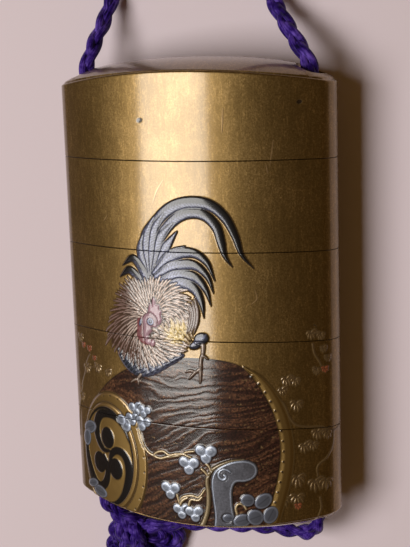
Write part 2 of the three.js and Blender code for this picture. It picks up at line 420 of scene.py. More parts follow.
def cut_channels(obj, cutters):
    for cutter in cutters:
        modifier = obj.modifiers.new("channel", "BOOLEAN")
        modifier.operation = "DIFFERENCE"
        modifier.solver = "EXACT"
        modifier.object = cutter
    done = bpy.data.meshes.new_from_object(obj.evaluated_get(bpy.context.evaluated_depsgraph_get()))
    obj.modifiers.clear()
    obj.data = done


# ---- materials: relief in metres, tones as places on a ramp and their colours ----
DUST_RELIEF = 0.00001
FIBRE_RELIEF = 0.00016
GOLD_TONES = [(0.45, (0.130, 0.080, 0.026)), (0.78, (0.192, 0.122, 0.043)), (1.0, (0.29, 0.19, 0.075))]
SILK_TONES = [(0.30, (0.002, 0.001, 0.022)), (0.52, (0.030, 0.010, 0.170)), (0.74, (0.130, 0.070, 0.430))]


def new_material(name):
    material = bpy.data.materials.new(name)
    material.use_nodes = True
    return material, material.node_tree, material.node_tree.nodes["Principled BSDF"]


def node(tree, kind, **settings):
    made = tree.nodes.new(kind)
    for name, value in settings.items():
        setattr(made, name, value)
    return made


def maths(tree, operation, *inputs):
    made = node(tree, "ShaderNodeMath", operation=operation)
    for socket, value in zip(made.inputs, inputs):
        if isinstance(value, (int, float)):
            socket.default_value = value
        else:
            tree.links.new(value, socket)
    return made.outputs[0]


def noise_node(tree, vector, scale, detail, roughness=0.5):
    made = node(tree, "ShaderNodeTexNoise")
    tree.links.new(vector, made.inputs["Vector"])
    made.inputs["Scale"].default_value = scale
    made.inputs["Detail"].default_value = detail
    made.inputs["Roughness"].default_value = roughness
    return made.outputs["Fac"]


def ramp(tree, value, stops):
    made = node(tree, "ShaderNodeValToRGB")
    tree.links.new(value, made.inputs["Fac"])
    elements = made.color_ramp.elements
    while len(elements) < len(stops):
        elements.new(0.5)
    for element, (place, colour) in zip(elements, stops):
        element.position = place
        element.color = (*colour, 1)
    return made.outputs["Color"]


def bump(tree, shader, height, metres, socket="Normal"):
    """Small relief in the shader, metres high where height goes from 0 to 1."""
    made = node(tree, "ShaderNodeBump")
    made.inputs["Strength"].default_value = 1.0
    made.inputs["Distance"].default_value = metres
    tree.links.new(height, made.inputs["Height"])
    tree.links.new(made.outputs["Normal"], shader.inputs[socket])


def drawn_noise(tree, vector, stretch, turn, scale, detail, roughness):
    """Noise that is turned and drawn out before it is read."""
    drawn = node(tree, "ShaderNodeMapping")
    drawn.inputs["Rotation"].default_value = (0, 0, turn)
    drawn.inputs["Scale"].default_value = stretch
    tree.links.new(vector, drawn.inputs["Vector"])
    return noise_node(tree, drawn.outputs["Vector"], scale, detail, roughness)


def hairline(tree, place, lean):
    """1 along thin wandering scratches that run mostly one way, 0 between them."""
    field = drawn_noise(tree, place, (1, 0.22, 1), lean, 1200.0, 1.0, 0.5)
    return maths(tree, "COMPARE", field, 0.6, 0.022)


def brightened(tree, colour, amount):
    scaled = node(tree, "ShaderNodeVectorMath", operation="SCALE")
    tree.links.new(colour, scaled.inputs[0])
    tree.links.new(amount, scaled.inputs["Scale"])
    return scaled.outputs["Vector"]


def bare_gold(tree, place, specks, strokes):
    """The colour of the gold dust: cloudy, speckled and faintly brushed, with light hairlines."""
    clouds = noise_node(tree, place, 110.0, 5.0, 0.62)
    brushed = maths(tree, "MULTIPLY", strokes, 0.25)
    speckled = maths(tree, "MULTIPLY_ADD", specks, 0.8, brushed)
    tone = maths(tree, "MULTIPLY_ADD", clouds, 0.5, speckled)
    gold = ramp(tree, tone, GOLD_TONES)
    hairlines = maths(tree, "MAXIMUM", hairline(tree, place, 0.35), hairline(tree, place, -0.8))
    return brightened(tree, gold, maths(tree, "MULTIPLY_ADD", hairlines, 0.26, 0.98))


def gold_lacquer():
    """Gold dust under clear lacquer, with the picture's own colours where it covers the gold."""
    material, tree, shader = new_material("gold_lacquer")
    place = node(tree, "ShaderNodeTexCoord").outputs["Object"]
    colour = node(tree, "ShaderNodeAttribute", attribute_name="picture_colour")
    finish = node(tree, "ShaderNodeAttribute", attribute_name="picture_finish")
    parts = node(tree, "ShaderNodeSeparateColor")
    tree.links.new(finish.outputs["Color"], parts.inputs[0])
    metal, rough, grainy = (parts.outputs[name] for name in ("Red", "Green", "Blue"))
    covered = colour.outputs["Alpha"]
    bare = maths(tree, "SUBTRACT", 1.0, covered)
    specks = noise_node(tree, place, 3200.0, 2.0, 0.7)
    strokes = drawn_noise(tree, place, (1, 0.06, 1), 0.0, 900.0, 2.0, 0.6)
    grain = noise_node(tree, place, 2600.0, 2.0, 0.7)

    spread = maths(tree, "MULTIPLY_ADD", grain, 4.4, -2.2)
    lightness = maths(tree, "MULTIPLY_ADD", spread, grainy, 1.0)
    painted = brightened(tree, colour.outputs["Color"], maths(tree, "MAXIMUM", lightness, 0.1))
    mixed = node(tree, "ShaderNodeMix", data_type="RGBA")
    tree.links.new(covered, mixed.inputs["Factor"])
    tree.links.new(bare_gold(tree, place, specks, strokes), mixed.inputs["A"])
    tree.links.new(painted, mixed.inputs["B"])
    tree.links.new(mixed.outputs["Result"], shader.inputs["Base Color"])

    tree.links.new(maths(tree, "MULTIPLY_ADD", metal, covered, bare), shader.inputs["Metallic"])
    gold_rough = maths(tree, "MULTIPLY_ADD", specks, 0.16, 0.325)
    picture_rough = maths(tree, "MULTIPLY", rough, covered)
    all_rough = maths(tree, "MULTIPLY_ADD", gold_rough, bare, picture_rough)
    tree.links.new(all_rough, shader.inputs["Roughness"])
    shader.inputs["Specular IOR Level"].default_value = 0.1
    shader.inputs["Coat Weight"].default_value = 1.0
    shader.inputs["Coat Roughness"].default_value = 0.14
    bump(tree, shader, maths(tree, "ADD", specks, maths(tree, "MULTIPLY", strokes, 0.4)), DUST_RELIEF)
    bare_share = maths(tree, "MULTIPLY", bare, 0.3)
    dust = maths(tree, "MULTIPLY_ADD", specks, bare_share, maths(tree, "MULTIPLY", grain, grainy))
    bump(tree, shader, dust, DUST_RELIEF, socket="Coat Normal")
    return material


def silk():
    """Deep purple floss: fine fibres along every strand, with lighter and darker patches."""
    material, tree, shader = new_material("purple_silk")
    threads = node(tree, "ShaderNodeAttribute", attribute_name="threads").outputs["Vector"]
    fibres = drawn_noise(tree, threads, (15, 0.4, 1), 0.03, 1.0, 2.0, 0.6)
    place = node(tree, "ShaderNodeTexCoord").outputs["Object"]
    patches = maths(tree, "MULTIPLY_ADD", noise_node(tree, place, 420.0, 4.0, 0.65), 1.0, -0.38)
    colour = ramp(tree, maths(tree, "MULTIPLY_ADD", fibres, 0.8, patches), SILK_TONES)
    tree.links.new(colour, shader.inputs["Base Color"])
    shader.inputs["Roughness"].default_value = 0.42
    shader.inputs["Specular IOR Level"].default_value = 0.15
    shader.inputs["Specular Tint"].default_value = (0.62, 0.48, 1, 1)
    shader.inputs["Sheen Weight"].default_value = 0.04
    shader.inputs["Sheen Roughness"].default_value = 0.35
    shader.inputs["Sheen Tint"].default_value = (0.55, 0.40, 0.90, 1)
    bump(tree, shader, fibres, FIBRE_RELIEF)
    return material


def pale_floor():
    material, _, shader = new_material("pale_floor")
    shader.inputs["Base Color"].default_value = (0.75, 0.655, 0.72, 1)
    shader.inputs["Roughness"].default_value = 0.9
    return material


# ---- the picture: places on the unrolled wall, s across and y up, in millimetres ----
Finish = namedtuple("Finish", "colour metal rough grainy", defaults=(0.0,))

GOLD_GROUND = Finish((0.186, 0.119, 0.041), 1.0, 0.43)
HEAD_GOLD = Finish((0.23, 0.150, 0.052), 1.0, 0.43)
GOLD_LINE = Finish((0.42, 0.28, 0.13), 0.9, 0.34)
VINE = Finish((0.66, 0.52, 0.32), 0.4, 0.4)
SEPIA = Finish((0.030, 0.015, 0.008), 0.0, 0.45)
BLACK = Finish((0.004, 0.004, 0.006), 0.0, 0.4)
SLATE = Finish((0.095, 0.105, 0.170), 0.2, 0.42, 0.6)
BLUE_BLACK = Finish((0.018, 0.026, 0.042), 0.1, 0.4)
CREAM = Finish((0.93, 0.76, 0.68), 0.0, 0.4)
QUILL = Finish((0.33, 0.26, 0.24), 0.0, 0.45)
SHANK = Finish((0.30, 0.24, 0.21), 0.2, 0.4)
CHIP = Finish((0.16, 0.15, 0.14), 0.0, 0.6)
YELLOW = Finish((0.88, 0.68, 0.30), 0.1, 0.4)
PINK = Finish((0.42, 0.26, 0.32), 0.0, 0.4)
CRIMSON = Finish((0.20, 0.055, 0.065), 0.0, 0.45)
WOOD = Finish((0.021, 0.0065, 0.005), 0.0, 0.5, 0.9)
WOOD_GRAIN = Finish((0.092, 0.040, 0.021), 0.15, 0.5, 1.0)
SILVER = Finish((0.27, 0.31, 0.40), 0.45, 0.42)
# painted shade: a darker copy of SILVER, laid on the round leaves low on the wall
SHADED_SILVER = Finish((0.12, 0.135, 0.18), 0.45, 0.42)
PEWTER = Finish((0.10, 0.105, 0.13), 0.5, 0.42, 0.3)
RUSSET = Finish((0.36, 0.105, 0.045), 0.3, 0.4)

SOFT = 0.14  # how wide the edge of a painted shape is


def cover(distance, soft=SOFT):
    """1 inside a shape and 0 outside it; distance is negative inside."""
    return np.clip(0.5 - distance / soft, 0, 1)


def eased(value, low, high):
    share = np.clip((value - low) / (high - low), 0, 1)
    return share * share * (3 - 2 * share)


def patchy(s, y, wide, high, seed):
    """Smooth noise from 0 to 1 with features of these sizes."""
    u, v = s / wide + 211.3, y / high + 137.9
    i, j = np.floor(u), np.floor(v)
    a, b = eased(u - i, 0, 1), eased(v - j, 0, 1)

    def corner(di, dj):
        return (np.sin((i + di) * 127.1 + (j + dj) * 311.7 + seed * 74.7) * 43758.5453) % 1

    low = corner(0, 0) * (1 - a) + corner(1, 0) * a
    high_side = corner(0, 1) * (1 - a) + corner(1, 1) * a
    return low * (1 - b) + high_side * b


def flat_line(points, step=0.3):
    return smooth_line([[s, y, 0] for s, y in points], step)[:, :2]


class Picture:
    """What lies on the wall at many places: colour, metal, roughness, cover and height."""

    def __init__(self, s, y):
        self.s, self.y = s, y
        self.colour = np.zeros((len(s), 3))
        self.metal, self.rough, self.grainy = (np.zeros(len(s)) for _ in range(3))
        self.cover, self.height = np.zeros(len(s)), np.zeros(len(s))

    def near(self, points, reach):
        low, high = np.min(points, axis=0) - reach, np.max(points, axis=0) + reach
        inside = (self.s > low[0]) & (self.s < high[0]) & (self.y > low[1]) & (self.y < high[1])
        return np.nonzero(inside)[0]

    def lay(self, at, mask, finish, shade=1.0, height=None):
        """Lays a finish over what is there, brighter or darker by shade."""
        keep = 1 - mask
        shaded = np.array(finish.colour)[None] * (np.ones_like(mask) * shade)[:, None]
        self.colour[at] = self.colour[at] * keep[:, None] + shaded * mask[:, None]
        self.metal[at] = self.metal[at] * keep + finish.metal * mask
        self.rough[at] = self.rough[at] * keep + finish.rough * mask
        self.grainy[at] = self.grainy[at] * keep + finish.grainy * mask
        self.cover[at] = self.cover[at] * keep + mask
        if height is not None:
            self.height[at] = self.height[at] * keep + height * mask

    def gaps(self, line, reach):
        """Places near a line, the share of each of its steps nearest to them, and the gap to it."""
        at = self.near(line, reach)
        place = np.stack([self.s[at], self.y[at]], axis=1)[:, None]
        start, step = line[:-1], np.diff(line, axis=0)
        share = np.clip(((place - start) * step).sum(-1) / (step**2).sum(-1), 0, 1)
        return at, share, place - start - share[..., None] * step

    def beside(self, points, reach):
        """Places near a smooth line: their offset from it and their share of its length."""
        line = flat_line(points)
        at, share, gap = self.gaps(line, reach)
        step = np.diff(line, axis=0)
        distance = np.hypot(gap[..., 0], gap[..., 1])
        nearest = np.argmin(distance, axis=1)
        row = np.arange(len(at))
        cross = step[nearest, 0] * gap[row, nearest, 1] - step[nearest, 1] * gap[row, nearest, 0]
        close = distance[row, nearest] < reach
        aside = np.copysign(distance[row, nearest], cross)
        along = (nearest + share[row, nearest]) / len(step)
        return at[close], aside[close], along[close]

    def stroke(self, points, widths, finish, shade=1.0, height=None, soft=SOFT):
        """A line of changing half width; height is that of its edge and of its middle."""
        at, aside, along = self.beside(points, max(widths) + soft)
        half = np.interp(along, np.linspace(0, 1, len(widths)), widths)
        mask = cover(np.abs(aside) - half, soft)
        if height is not None:
            bulge = np.sqrt(np.clip(1 - (aside / np.maximum(half, 0.05)) ** 2, 0, 1))
            height = height[0] + (height[1] - height[0]) * bulge
        self.lay(at, mask, finish, shade, height)

    def inside(self, outline, reach=0.6):
        """Places near a closed outline and their distance outside it."""
        line = flat_line([*outline, outline[0]])
        at, _, gap = self.gaps(line, reach)
        distance = np.hypot(gap[..., 0], gap[..., 1]).min(axis=1)
        s, y = self.s[at, None], self.y[at, None]
        start, step = line[:-1], np.diff(line, axis=0)
        crosses = (start[:, 1] > y) != (line[1:, 1] > y)
        safe = np.where(step[:, 1] == 0, 1e-9, step[:, 1])
        meets = start[:, 0] + (y - start[:, 1]) / safe * step[:, 0]
        odd = (crosses & (s < meets)).sum(axis=1) % 2 == 1
        return at, np.where(odd, -distance, distance)

    def ellipse(self, centre, sizes, turn=0.0, reach=1.15):
        """Places near an ellipse, and how far out they are: 1 on its edge."""
        widest = max(sizes) * reach
        at = self.near([centre], widest)
        ds, dy = self.s[at] - centre[0], self.y[at] - centre[1]
        u = (ds * math.cos(turn) + dy * math.sin(turn)) / sizes[0]
        v = (dy * math.cos(turn) - ds * math.sin(turn)) / sizes[1]
        return at, np.hypot(u, v), np.arctan2(v, u)

    def disc(self, centre, sizes, finish, turn=0.0, shade=1.0, height=None):
        at, out, _ = self.ellipse(centre, sizes, turn, 1 + 2 * SOFT / min(sizes))
        mask = cover((out - 1) * min(sizes))
        if height is not None:
            height = height[0] + (height[1] - height[0]) * np.sqrt(np.clip(1 - out**2, 0, 1))
        self.lay(at, mask, finish, shade, height)


# ---- the cockerel ----
def feather(picture, points, widths, tip_from=2.0, dark_side=0.0):
    """A feather with a shaft, slanting barbs and a dark outline; its tip or one side may be dark."""
    at, aside, along = picture.beside(points, max(widths) + SOFT)
    half = np.maximum(np.interp(along, np.linspace(0, 1, len(widths)), widths), 0.04)
    across = aside / half
    length = len(flat_line(points)) * 0.3
    barbs = 1 + 0.4 * np.sin(2 * math.pi * (along * length - 0.9 * np.abs(aside)) / 0.62)
    barbs *= 0.72 + 0.56 * patchy(picture.s[at], picture.y[at], 0.33, 0.33, 9)
    shaft = 1 + 0.9 * np.exp(-(aside / 0.12) ** 2)
    high = 0.08 + 0.16 * np.sqrt(np.clip(1 - across**2, 0, 1))
    mask = cover(np.abs(aside) - half)
    picture.lay(at, mask, SLATE, barbs * shaft * (1.15 - 0.4 * along), high)
    dark = eased(along, tip_from - 0.1, tip_from + 0.06)
    if dark_side:
        inner = eased(along, tip_from - 0.5, tip_from - 0.2)
        dark = np.maximum(dark, inner * eased(across * dark_side, -0.1 - 0.5 * along, 0.3 - 0.5 * along))
    picture.lay(at, mask * dark, BLACK, 1.0)
    gleam = np.exp(-((across + 0.72 * dark_side) / 0.2) ** 2)
    picture.lay(at, mask * dark * gleam * 0.35, SLATE)
    outline = mask * cover(half - 0.16 - np.abs(aside), 0.14)
    picture.lay(at, outline * 0.92, BLACK, 1.0)


def draw_tail(picture):
    base = (-6.8, 4.6)
    long_feathers = [
        ([base, (-7.9, 8.4), (-8.2, 10.8), (-7.4, 13.2)], (0.5, 0.8, 0.75, 0.15)),
        ([base, (-7.2, 9.4), (-6.8, 13.2), (-4.9, 16.6)], (0.5, 0.95, 1.0, 0.2)),
        ([base, (-6.2, 9.6), (-5.4, 13.6), (-2.9, 17.4)], (0.5, 1.0, 1.1, 0.2)),
        ([base, (-5.2, 9.4), (-3.8, 12.8), (-1.0, 15.6)], (0.5, 0.95, 1.0, 0.2)),
        ([base, (-4.4, 8.6), (-2.2, 11.6), (-0.3, 14.0)], (0.5, 0.9, 1.0, 0.15)),
        ([base, (-3.4, 8.2), (-0.9, 10.4), (1.2, 11.3)], (0.5, 0.85, 0.85, 0.15)),
    ]
    sickle = [
        base, (-6.9, 9.4), (-5.6, 13.6), (-3.2, 17.0), (-0.2, 18.9), (3.2, 19.5), (6.4, 18.9),
        (9.0, 16.7), (10.8, 13.2), (11.9, 9.9), (14.0, 7.3),
    ]
    inner_sickle = [
        (-5.4, 8), (-4.2, 11.8), (-2.2, 14.8), (0.4, 16.9), (3.0, 17.6), (5.4, 17.0), (7.3, 15),
        (8.2, 12), (8.8, 9.6), (10.1, 7.6),
    ]
    feather(picture, inner_sickle, (0.5, 1.0, 1.0, 1.05, 0.95, 0.75, 0.05), tip_from=0.74, dark_side=1)
    feather(picture, sickle, (0.5, 1.0, 1.1, 1.15, 1.1, 0.9, 0.6, 0.05), tip_from=0.74, dark_side=1)
    for points, widths in reversed(long_feathers):
        feather(picture, points, widths)
    side_feathers = [
        [(-5.4, 6.0), (-1.4, 9.4), (2.6, 10.1), (5.2, 8.5), (6.8, 4.9)],
        [(-5.2, 5.2), (-1.2, 7.4), (2.8, 7.8), (5.2, 6.0), (6.5, 2.6)],
        [(-4.6, 4.4), (-0.4, 5.8), (3, 5.5), (5, 3.2), (5.9, 0.2)],
        [(-3.4, 3.4), (0.4, 4.3), (2.8, 3.3), (4.0, 1.0), (4.5, -2.1)],
    ]
    for points in side_feathers:
        feather(picture, points, (0.5, 1.1, 1.0, 0.62, 0.04), tip_from=0.76, dark_side=1)
    for points in (
        [(-6.9, 3.6), (-8, 6.6), (-9.9, 8.5), (-12.4, 7.0)],
        [(-7.6, 2.4), (-9, 4.9), (-10.8, 6.2), (-13.2, 4.7)],
    ):
        feather(picture, points, (0.5, 0.9, 0.75, 0.04), tip_from=0.62, dark_side=-1)


def draw_breast(picture):
    outline = [(-15, -9.2), (-14.2, -11.4), (-12.2, -13.6), (-9.4, -14.5), (-6.2, -13.8), (-2.8, -11.8),
               (0.4, -9.4), (-3, -8.8), (-8, -9.6), (-12, -8.4)]
    at, out = picture.inside(outline)
    s, y = picture.s[at], picture.y[at]
    bend = math.radians(-28)
    u = s * math.cos(bend) - y * math.sin(bend) + 0.05 * s * (y + 12)
    v = s * math.sin(bend) + y * math.cos(bend)
    row = np.floor(v / 0.72)
    column = (u / 1.1 + 0.5 * (row % 2)) % 1 - 0.5
    across = v / 0.72 - row
    arc = np.hypot(column * 1.5, across - 0.05)
    scale_edge = np.exp(-((arc - 0.72) / 0.16) ** 2)
    lightness = eased(s, -11.5, -6.5)
    mask = cover(out)
    dome = 0.18 + 0.08 * np.clip(1 - arc, 0, 1)
    picture.lay(at, mask, BLUE_BLACK, 1.0, dome * eased(-out, 0, 0.5) + 0.08)
    picture.lay(at, mask * lightness * 0.75, SLATE, 0.8)
    picture.lay(at, mask * scale_edge * (0.45 + 0.3 * lightness), SLATE, 1.35)
    picture.lay(at, mask * np.exp(-((arc - 0.98) / 0.13) ** 2) * 0.8, BLACK)


# The neck feathers lie in rings round the head. The tables give, by direction in degrees, how
# far the feathers reach and how far they lean.
HACKLE = np.array([-5.6, -4.2])
FLUFF_BROWN = (0.23, 0.145, 0.13)
HACKLE_RINGS = 6
HACKLE_RING_STEP = 0.145
HACKLE_RADIUS = 9.3
HACKLE_SPACING = 0.68
HACKLE_EDGE = [
    (0, 7.5), (26, 8.8), (46, 9.8), (69, 9.6), (90, 9.4), (106, 9.0), (123, 10.6), (141, 10.3),
    (164, 9.9), (184, 11.0), (203, 12.8), (213, 11.2), (229, 9.7), (245, 9.3), (270, 7.7), (302, 6.7),
    (329, 7.7), (344, 7.7), (360, 7.5),
]
HACKLE_LEAN = [(0, 82), (15, 68), (30, 52), (60, 34), (80, 16), (100, 2), (135, -12), (180, -34), (215, -28),
               (250, -34), (290, -44), (316, -40), (332, -14), (346, 48), (360, 82)]


def round_the_head(table, turn):
    """A value that changes with the direction from the head, in degrees, from a short table."""
    return np.interp(turn % 360, *zip(*table))


def neck_feather(turn, far, length):
    """A curved line that ends far from the head in this direction, and how far it leans."""
    lean = math.radians(round_the_head(HACKLE_LEAN, turn))
    angle, radius = math.radians(turn), far
    points = [HACKLE + radius * np.array([math.cos(angle), math.sin(angle)])]
    for _ in range(4):
        step = length / 4
        way = angle - lean * min(1.0, 0.55 + 0.45 * radius / far)
        points.append(points[-1] - step * np.array([math.cos(way), math.sin(way)]))
        gap = points[-1] - HACKLE
        angle, radius = math.atan2(gap[1], gap[0]), max(math.hypot(*gap), 0.6)
    return np.array(points[::-1])


def draw_hackle(picture):
    at, out, turn = picture.ellipse(HACKLE, (13, 13), reach=1.05)
    reach = round_the_head(HACKLE_EDGE, np.degrees(turn)) - 1.1
    picture.lay(at, cover(out * 13 - reach, 0.8), SEPIA, 1.6, 0.1 + 0.2 * np.clip(1 - out, 0, 1))
    for row in range(HACKLE_RINGS):
        share = 1 - HACKLE_RING_STEP * row
        count = int(2 * math.pi * HACKLE_RADIUS * share / HACKLE_SPACING)
        for i in range(count):
            turn = 360 * (i + 0.5 * (row % 2)) / count + 0.5 * math.sin(7.3 * i + row)
            edge = float(round_the_head(HACKLE_EDGE, turn))
            far = edge * share * (1 + 0.035 * math.sin(2.4 * i + 2 * row))
            points = neck_feather(turn, far, 0.3 * edge + 0.4)
            end = points[-1]
            fluff = float(eased(-end[0] - 0.25 * end[1], 8.6, 13.2) * (0.3 + 0.7 * eased(share, 0.4, 0.9)))
            yellow = float(cover(math.hypot((end[0] + 0.2) * 0.85, end[1] + 5.7) - 1.9, 1.2))
            lift = 0.10 + 0.24 * (1 - share)
            dark = 0.38 - 0.05 * fluff - 0.11 * yellow
            depth = 0.35 + 1.5 * fluff + 2.5 * yellow
            picture.stroke(points, (0.3, dark, dark, 0.16), SEPIA, depth, (lift, lift + 0.02), 0.12)
            tone = np.array(CREAM.colour) * (1 - fluff) + np.array(FLUFF_BROWN) * fluff
            tone = tone * (1 - yellow) + np.array(YELLOW.colour) * yellow
            light = (0.20 - 0.07 * fluff) * (1 + 0.7 * yellow)
            dimmer = 0.35 * float(eased(end[1], 1, 5) * eased(-end[0], 4, 9))
            shade = (0.95 + 0.12 * math.sin(3 * i)) * (1 - dimmer)
            barb = CREAM._replace(colour=tuple(tone))
            picture.stroke(points, (0.08, light, light, 0.06), barb, shade, (lift + 0.06, lift + 0.13), 0.07)


def draw_wing(picture):
    for i, start in enumerate((3.3, 2.8, 2.3, 1.9)):
        points = [(start - 0.5, 1.6 - 0.5 * i), (start, -0.8), (start - 0.2, -3.0), (start - 0.9, -5.2)]
        picture.stroke(points, (0.2, 0.34, 0.34, 0.1), SEPIA, 1.0, (0.2, 0.24))
        picture.stroke(points, (0.1, 0.2, 0.2, 0.04), QUILL, 1.0, (0.24, 0.3))


def draw_head(picture):
    comb = [
        (-6.9, -1.7), (-6.65, -0.5), (-6.3, 0.25), (-6.0, -0.3), (-5.85, 0.8), (-5.55, 1.35),
        (-5.2, 0.7), (-5.0, -0.1), (-4.45, 0.1), (-4.4, -0.9), (-3.95, -1.2), (-4.15, -2.1),
        (-3.9, -2.7), (-4.3, -3.6), (-5.1, -4.1), (-5.6, -2.9), (-6.2, -2.2),
    ]
    at, out = picture.inside(comb)
    picture.lay(at, cover(out - 0.22), SEPIA, 0.9, 0.26)
    picture.lay(at, cover(out), PINK, 1.05, 0.3 + 0.1 * eased(-out, 0, 0.4))
    cheek = [
        (-7.6, -2.2), (-6.6, -1.7), (-5.5, -2.3), (-5.0, -3.4), (-5.2, -4.6), (-6.2, -5.2),
        (-7.0, -6.2), (-7.0, -7.2), (-7.7, -7.1), (-8.0, -5.8), (-7.9, -4.2), (-8.1, -3.0),
    ]
    patch = [
        (-8.3, -2.4), (-7.6, -3.4), (-7.9, -5), (-7.6, -6.6), (-6.6, -7.4), (-7.2, -8.0), (-8.6, -7.6),
        (-9.5, -6.5), (-9.4, -4.6), (-9.3, -3.2),
    ]
    at, out = picture.inside(patch)
    picture.lay(at, cover(out), CRIMSON, 0.75 + 0.5 * patchy(picture.s[at], picture.y[at], 0.5, 0.5, 7), 0.34)
    at, out = picture.inside(cheek)
    picture.lay(at, cover(out - 0.2), CRIMSON, 0.4, 0.3)
    picture.lay(at, cover(out), PINK, 0.9, 0.36 + 0.08 * eased(-out, 0, 0.5))
    picture.disc((-8.6, -3.7), (0.36, 0.78), SEPIA, -0.25, 1.0, (0.36, 0.4))
    picture.disc((-8.6, -3.7), (0.2, 0.62), SLATE, -0.25, 1.9, (0.38, 0.42))
    for s, y, wide, high in ((-7.0, -7.3, 0.66, 0.5), (-6.1, -7.5, 0.42, 0.62)):
        picture.disc((s, y), (wide + 0.14, high + 0.14), CRIMSON, -0.3, 0.7, (0.34, 0.38))
        picture.disc((s, y), (wide, high), PINK, -0.3, 1.15, (0.36, 0.46))
    upper_bill = [(-5.9, -4.7), (-5.2, -4.9), (-4.7, -5.4), (-4.5, -6.2)]
    upper_light = [(-5.8, -4.8), (-5.2, -5.0), (-4.75, -5.5), (-4.6, -6.0)]
    lower_bill = [(-5.4, -5.5), (-6.1, -5.6), (-6.4, -6.1), (-6.1, -6.6)]
    lower_light = [(-5.0, -5.9), (-5.7, -6.0), (-5.9, -6.3)]
    picture.stroke(upper_bill, (0.4, 0.44, 0.3, 0.05), SEPIA, 1.0, (0.34, 0.4))
    picture.stroke(upper_light, (0.24, 0.28, 0.15, 0.03), CREAM, 0.62, (0.38, 0.46))
    picture.stroke(lower_bill, (0.12, 0.16, 0.16, 0.06), SEPIA, 1.0, (0.34, 0.36))
    picture.stroke(lower_light, (0.14, 0.18, 0.05), CREAM, 0.8, (0.36, 0.42))
    rings = ((0.80, SEPIA, 0.6), (0.62, SLATE, 3.4), (0.44, BLACK, 1.0), (0.16, SLATE, 2.0))
    for size, finish, shade in rings:
        picture.disc((-6.35, -3.35), (size, size), finish, shade=shade, height=(0.44, 0.48))


def draw_legs(picture):
    for s, y, wide, high in ((2.6, -7.4, 1.3, 0.75), (3.8, -6.1, 1.5, 1.15)):
        picture.disc((s, y), (wide, high), BLACK, 0.35, height=(0.1, 0.24))
        picture.disc((s, y), (wide - 0.18, high - 0.18), SLATE, 0.35, 0.35, (0.14, 0.28))
    for i in range(5):
        tick = [(2.0 + 0.55 * i, -7.5 + 0.35 * i), (2.6 + 0.55 * i, -6.4 + 0.3 * i)]
        picture.stroke(tick, (0.14, 0.1), SLATE, 1.3)
    limbs = [
        ([(4.1, -7.4), (4.0, -8.8), (3.6, -10.1), (3.45, -11.9)], (0.34, 0.24, 0.22, 0.24)),
        ([(3.9, -9.3), (4.4, -9.5), (4.9, -9.9)], (0.16, 0.1, 0.03)),
        ([(3.45, -11.8), (3.4, -13.2), (3.3, -14.6)], (0.24, 0.17, 0.04)),
        ([(3.4, -11.9), (2.4, -12.5), (1.4, -12.3), (0.6, -12.6)], (0.24, 0.18, 0.14, 0.03)),
        ([(2.5, -12.5), (1.8, -13.2), (1.2, -13.9)], (0.18, 0.13, 0.03)),
        ([(-9.2, -14.1), (-10, -15), (-10.9, -15.4), (-11.6, -15.9)], (0.22, 0.2, 0.15, 0.03)),
        ([(-10, -15), (-9.8, -15.6), (-9.9, -16.2)], (0.17, 0.12, 0.03)),
    ]
    for points, widths in limbs:
        picture.stroke(points, [w + 0.12 for w in widths], SEPIA, height=(0.1, 0.16))
        picture.stroke(points, widths, SHANK, 1.2, (0.16, 0.28))


# ---- the drum ----
DRUM_HEAD = (-18.65, -32.3)
HEAD_SIZES = (6.85, 10.3)
HOOP = (-17.15, -32.3)
HOOP_SIZES = (8.65, 13.7)
INNER_HOOP = (-18.2, -32.3)
INNER_HOOP_SIZES = (7.6, 11.4)
STUD_SIZES = (8.0, 12.8)
STUDS = 26
LAST_STUD_AT = -22


def draw_drum_body(picture):
    outline = [(-20.6, -19.6), (-17.5, -16.6), (-14, -14.2), (-10, -12.3), (-5, -10.8), (0, -10), (5, -9.9),
               (9, -10.4), (11.5, -11.4), (13.6, -13.8), (15.6, -17), (17.3, -20.8), (18.2, -25), (18.2, -29),
               (17.6, -33), (16.6, -37), (15.3, -41), (14, -45), (-4, -48), (-22, -47)]
    at, out = picture.inside(outline)
    s, y = picture.s[at], picture.y[at]
    slope = 0.07 + 0.36 * eased(-y, 15, 27)
    grain = y - slope * s + 1.8 * patchy(s, y, 7, 4, 1) + 0.5 * patchy(s, y, 1.6, 1.2, 12)
    bands = 0.5 + 0.5 * np.sin(2 * math.pi * grain / 1.6 + 7 * patchy(s, grain, 9, 2.2, 2))
    fine = patchy(s, grain, 2.2, 0.26, 3)
    broad = patchy(s, grain, 5, 1.3, 16)
    dust = patchy(s, y, 0.26, 0.22, 4)
    streaks = eased(0.36 * bands + 0.42 * fine + 0.42 * broad, 0.42, 0.84)
    mask = cover(out)
    picture.lay(at, mask, WOOD, 0.55 + 0.9 * dust, 0.06 + 0.015 * streaks)
    picture.lay(at, mask * streaks * (0.35 + 0.65 * eased(dust, 0.25, 0.7)), WOOD_GRAIN, 0.55 + 0.9 * fine)
    sparks = eased(patchy(s, y, 0.3, 0.22, 5), 0.8, 0.95) * eased(bands, 0.3, 0.9)
    picture.lay(at, mask * sparks * 0.6, GOLD_LINE, 0.7)
    picture.lay(at, mask * cover(-0.16 - out, 0.2) * 0.8, BLACK, 1.0)


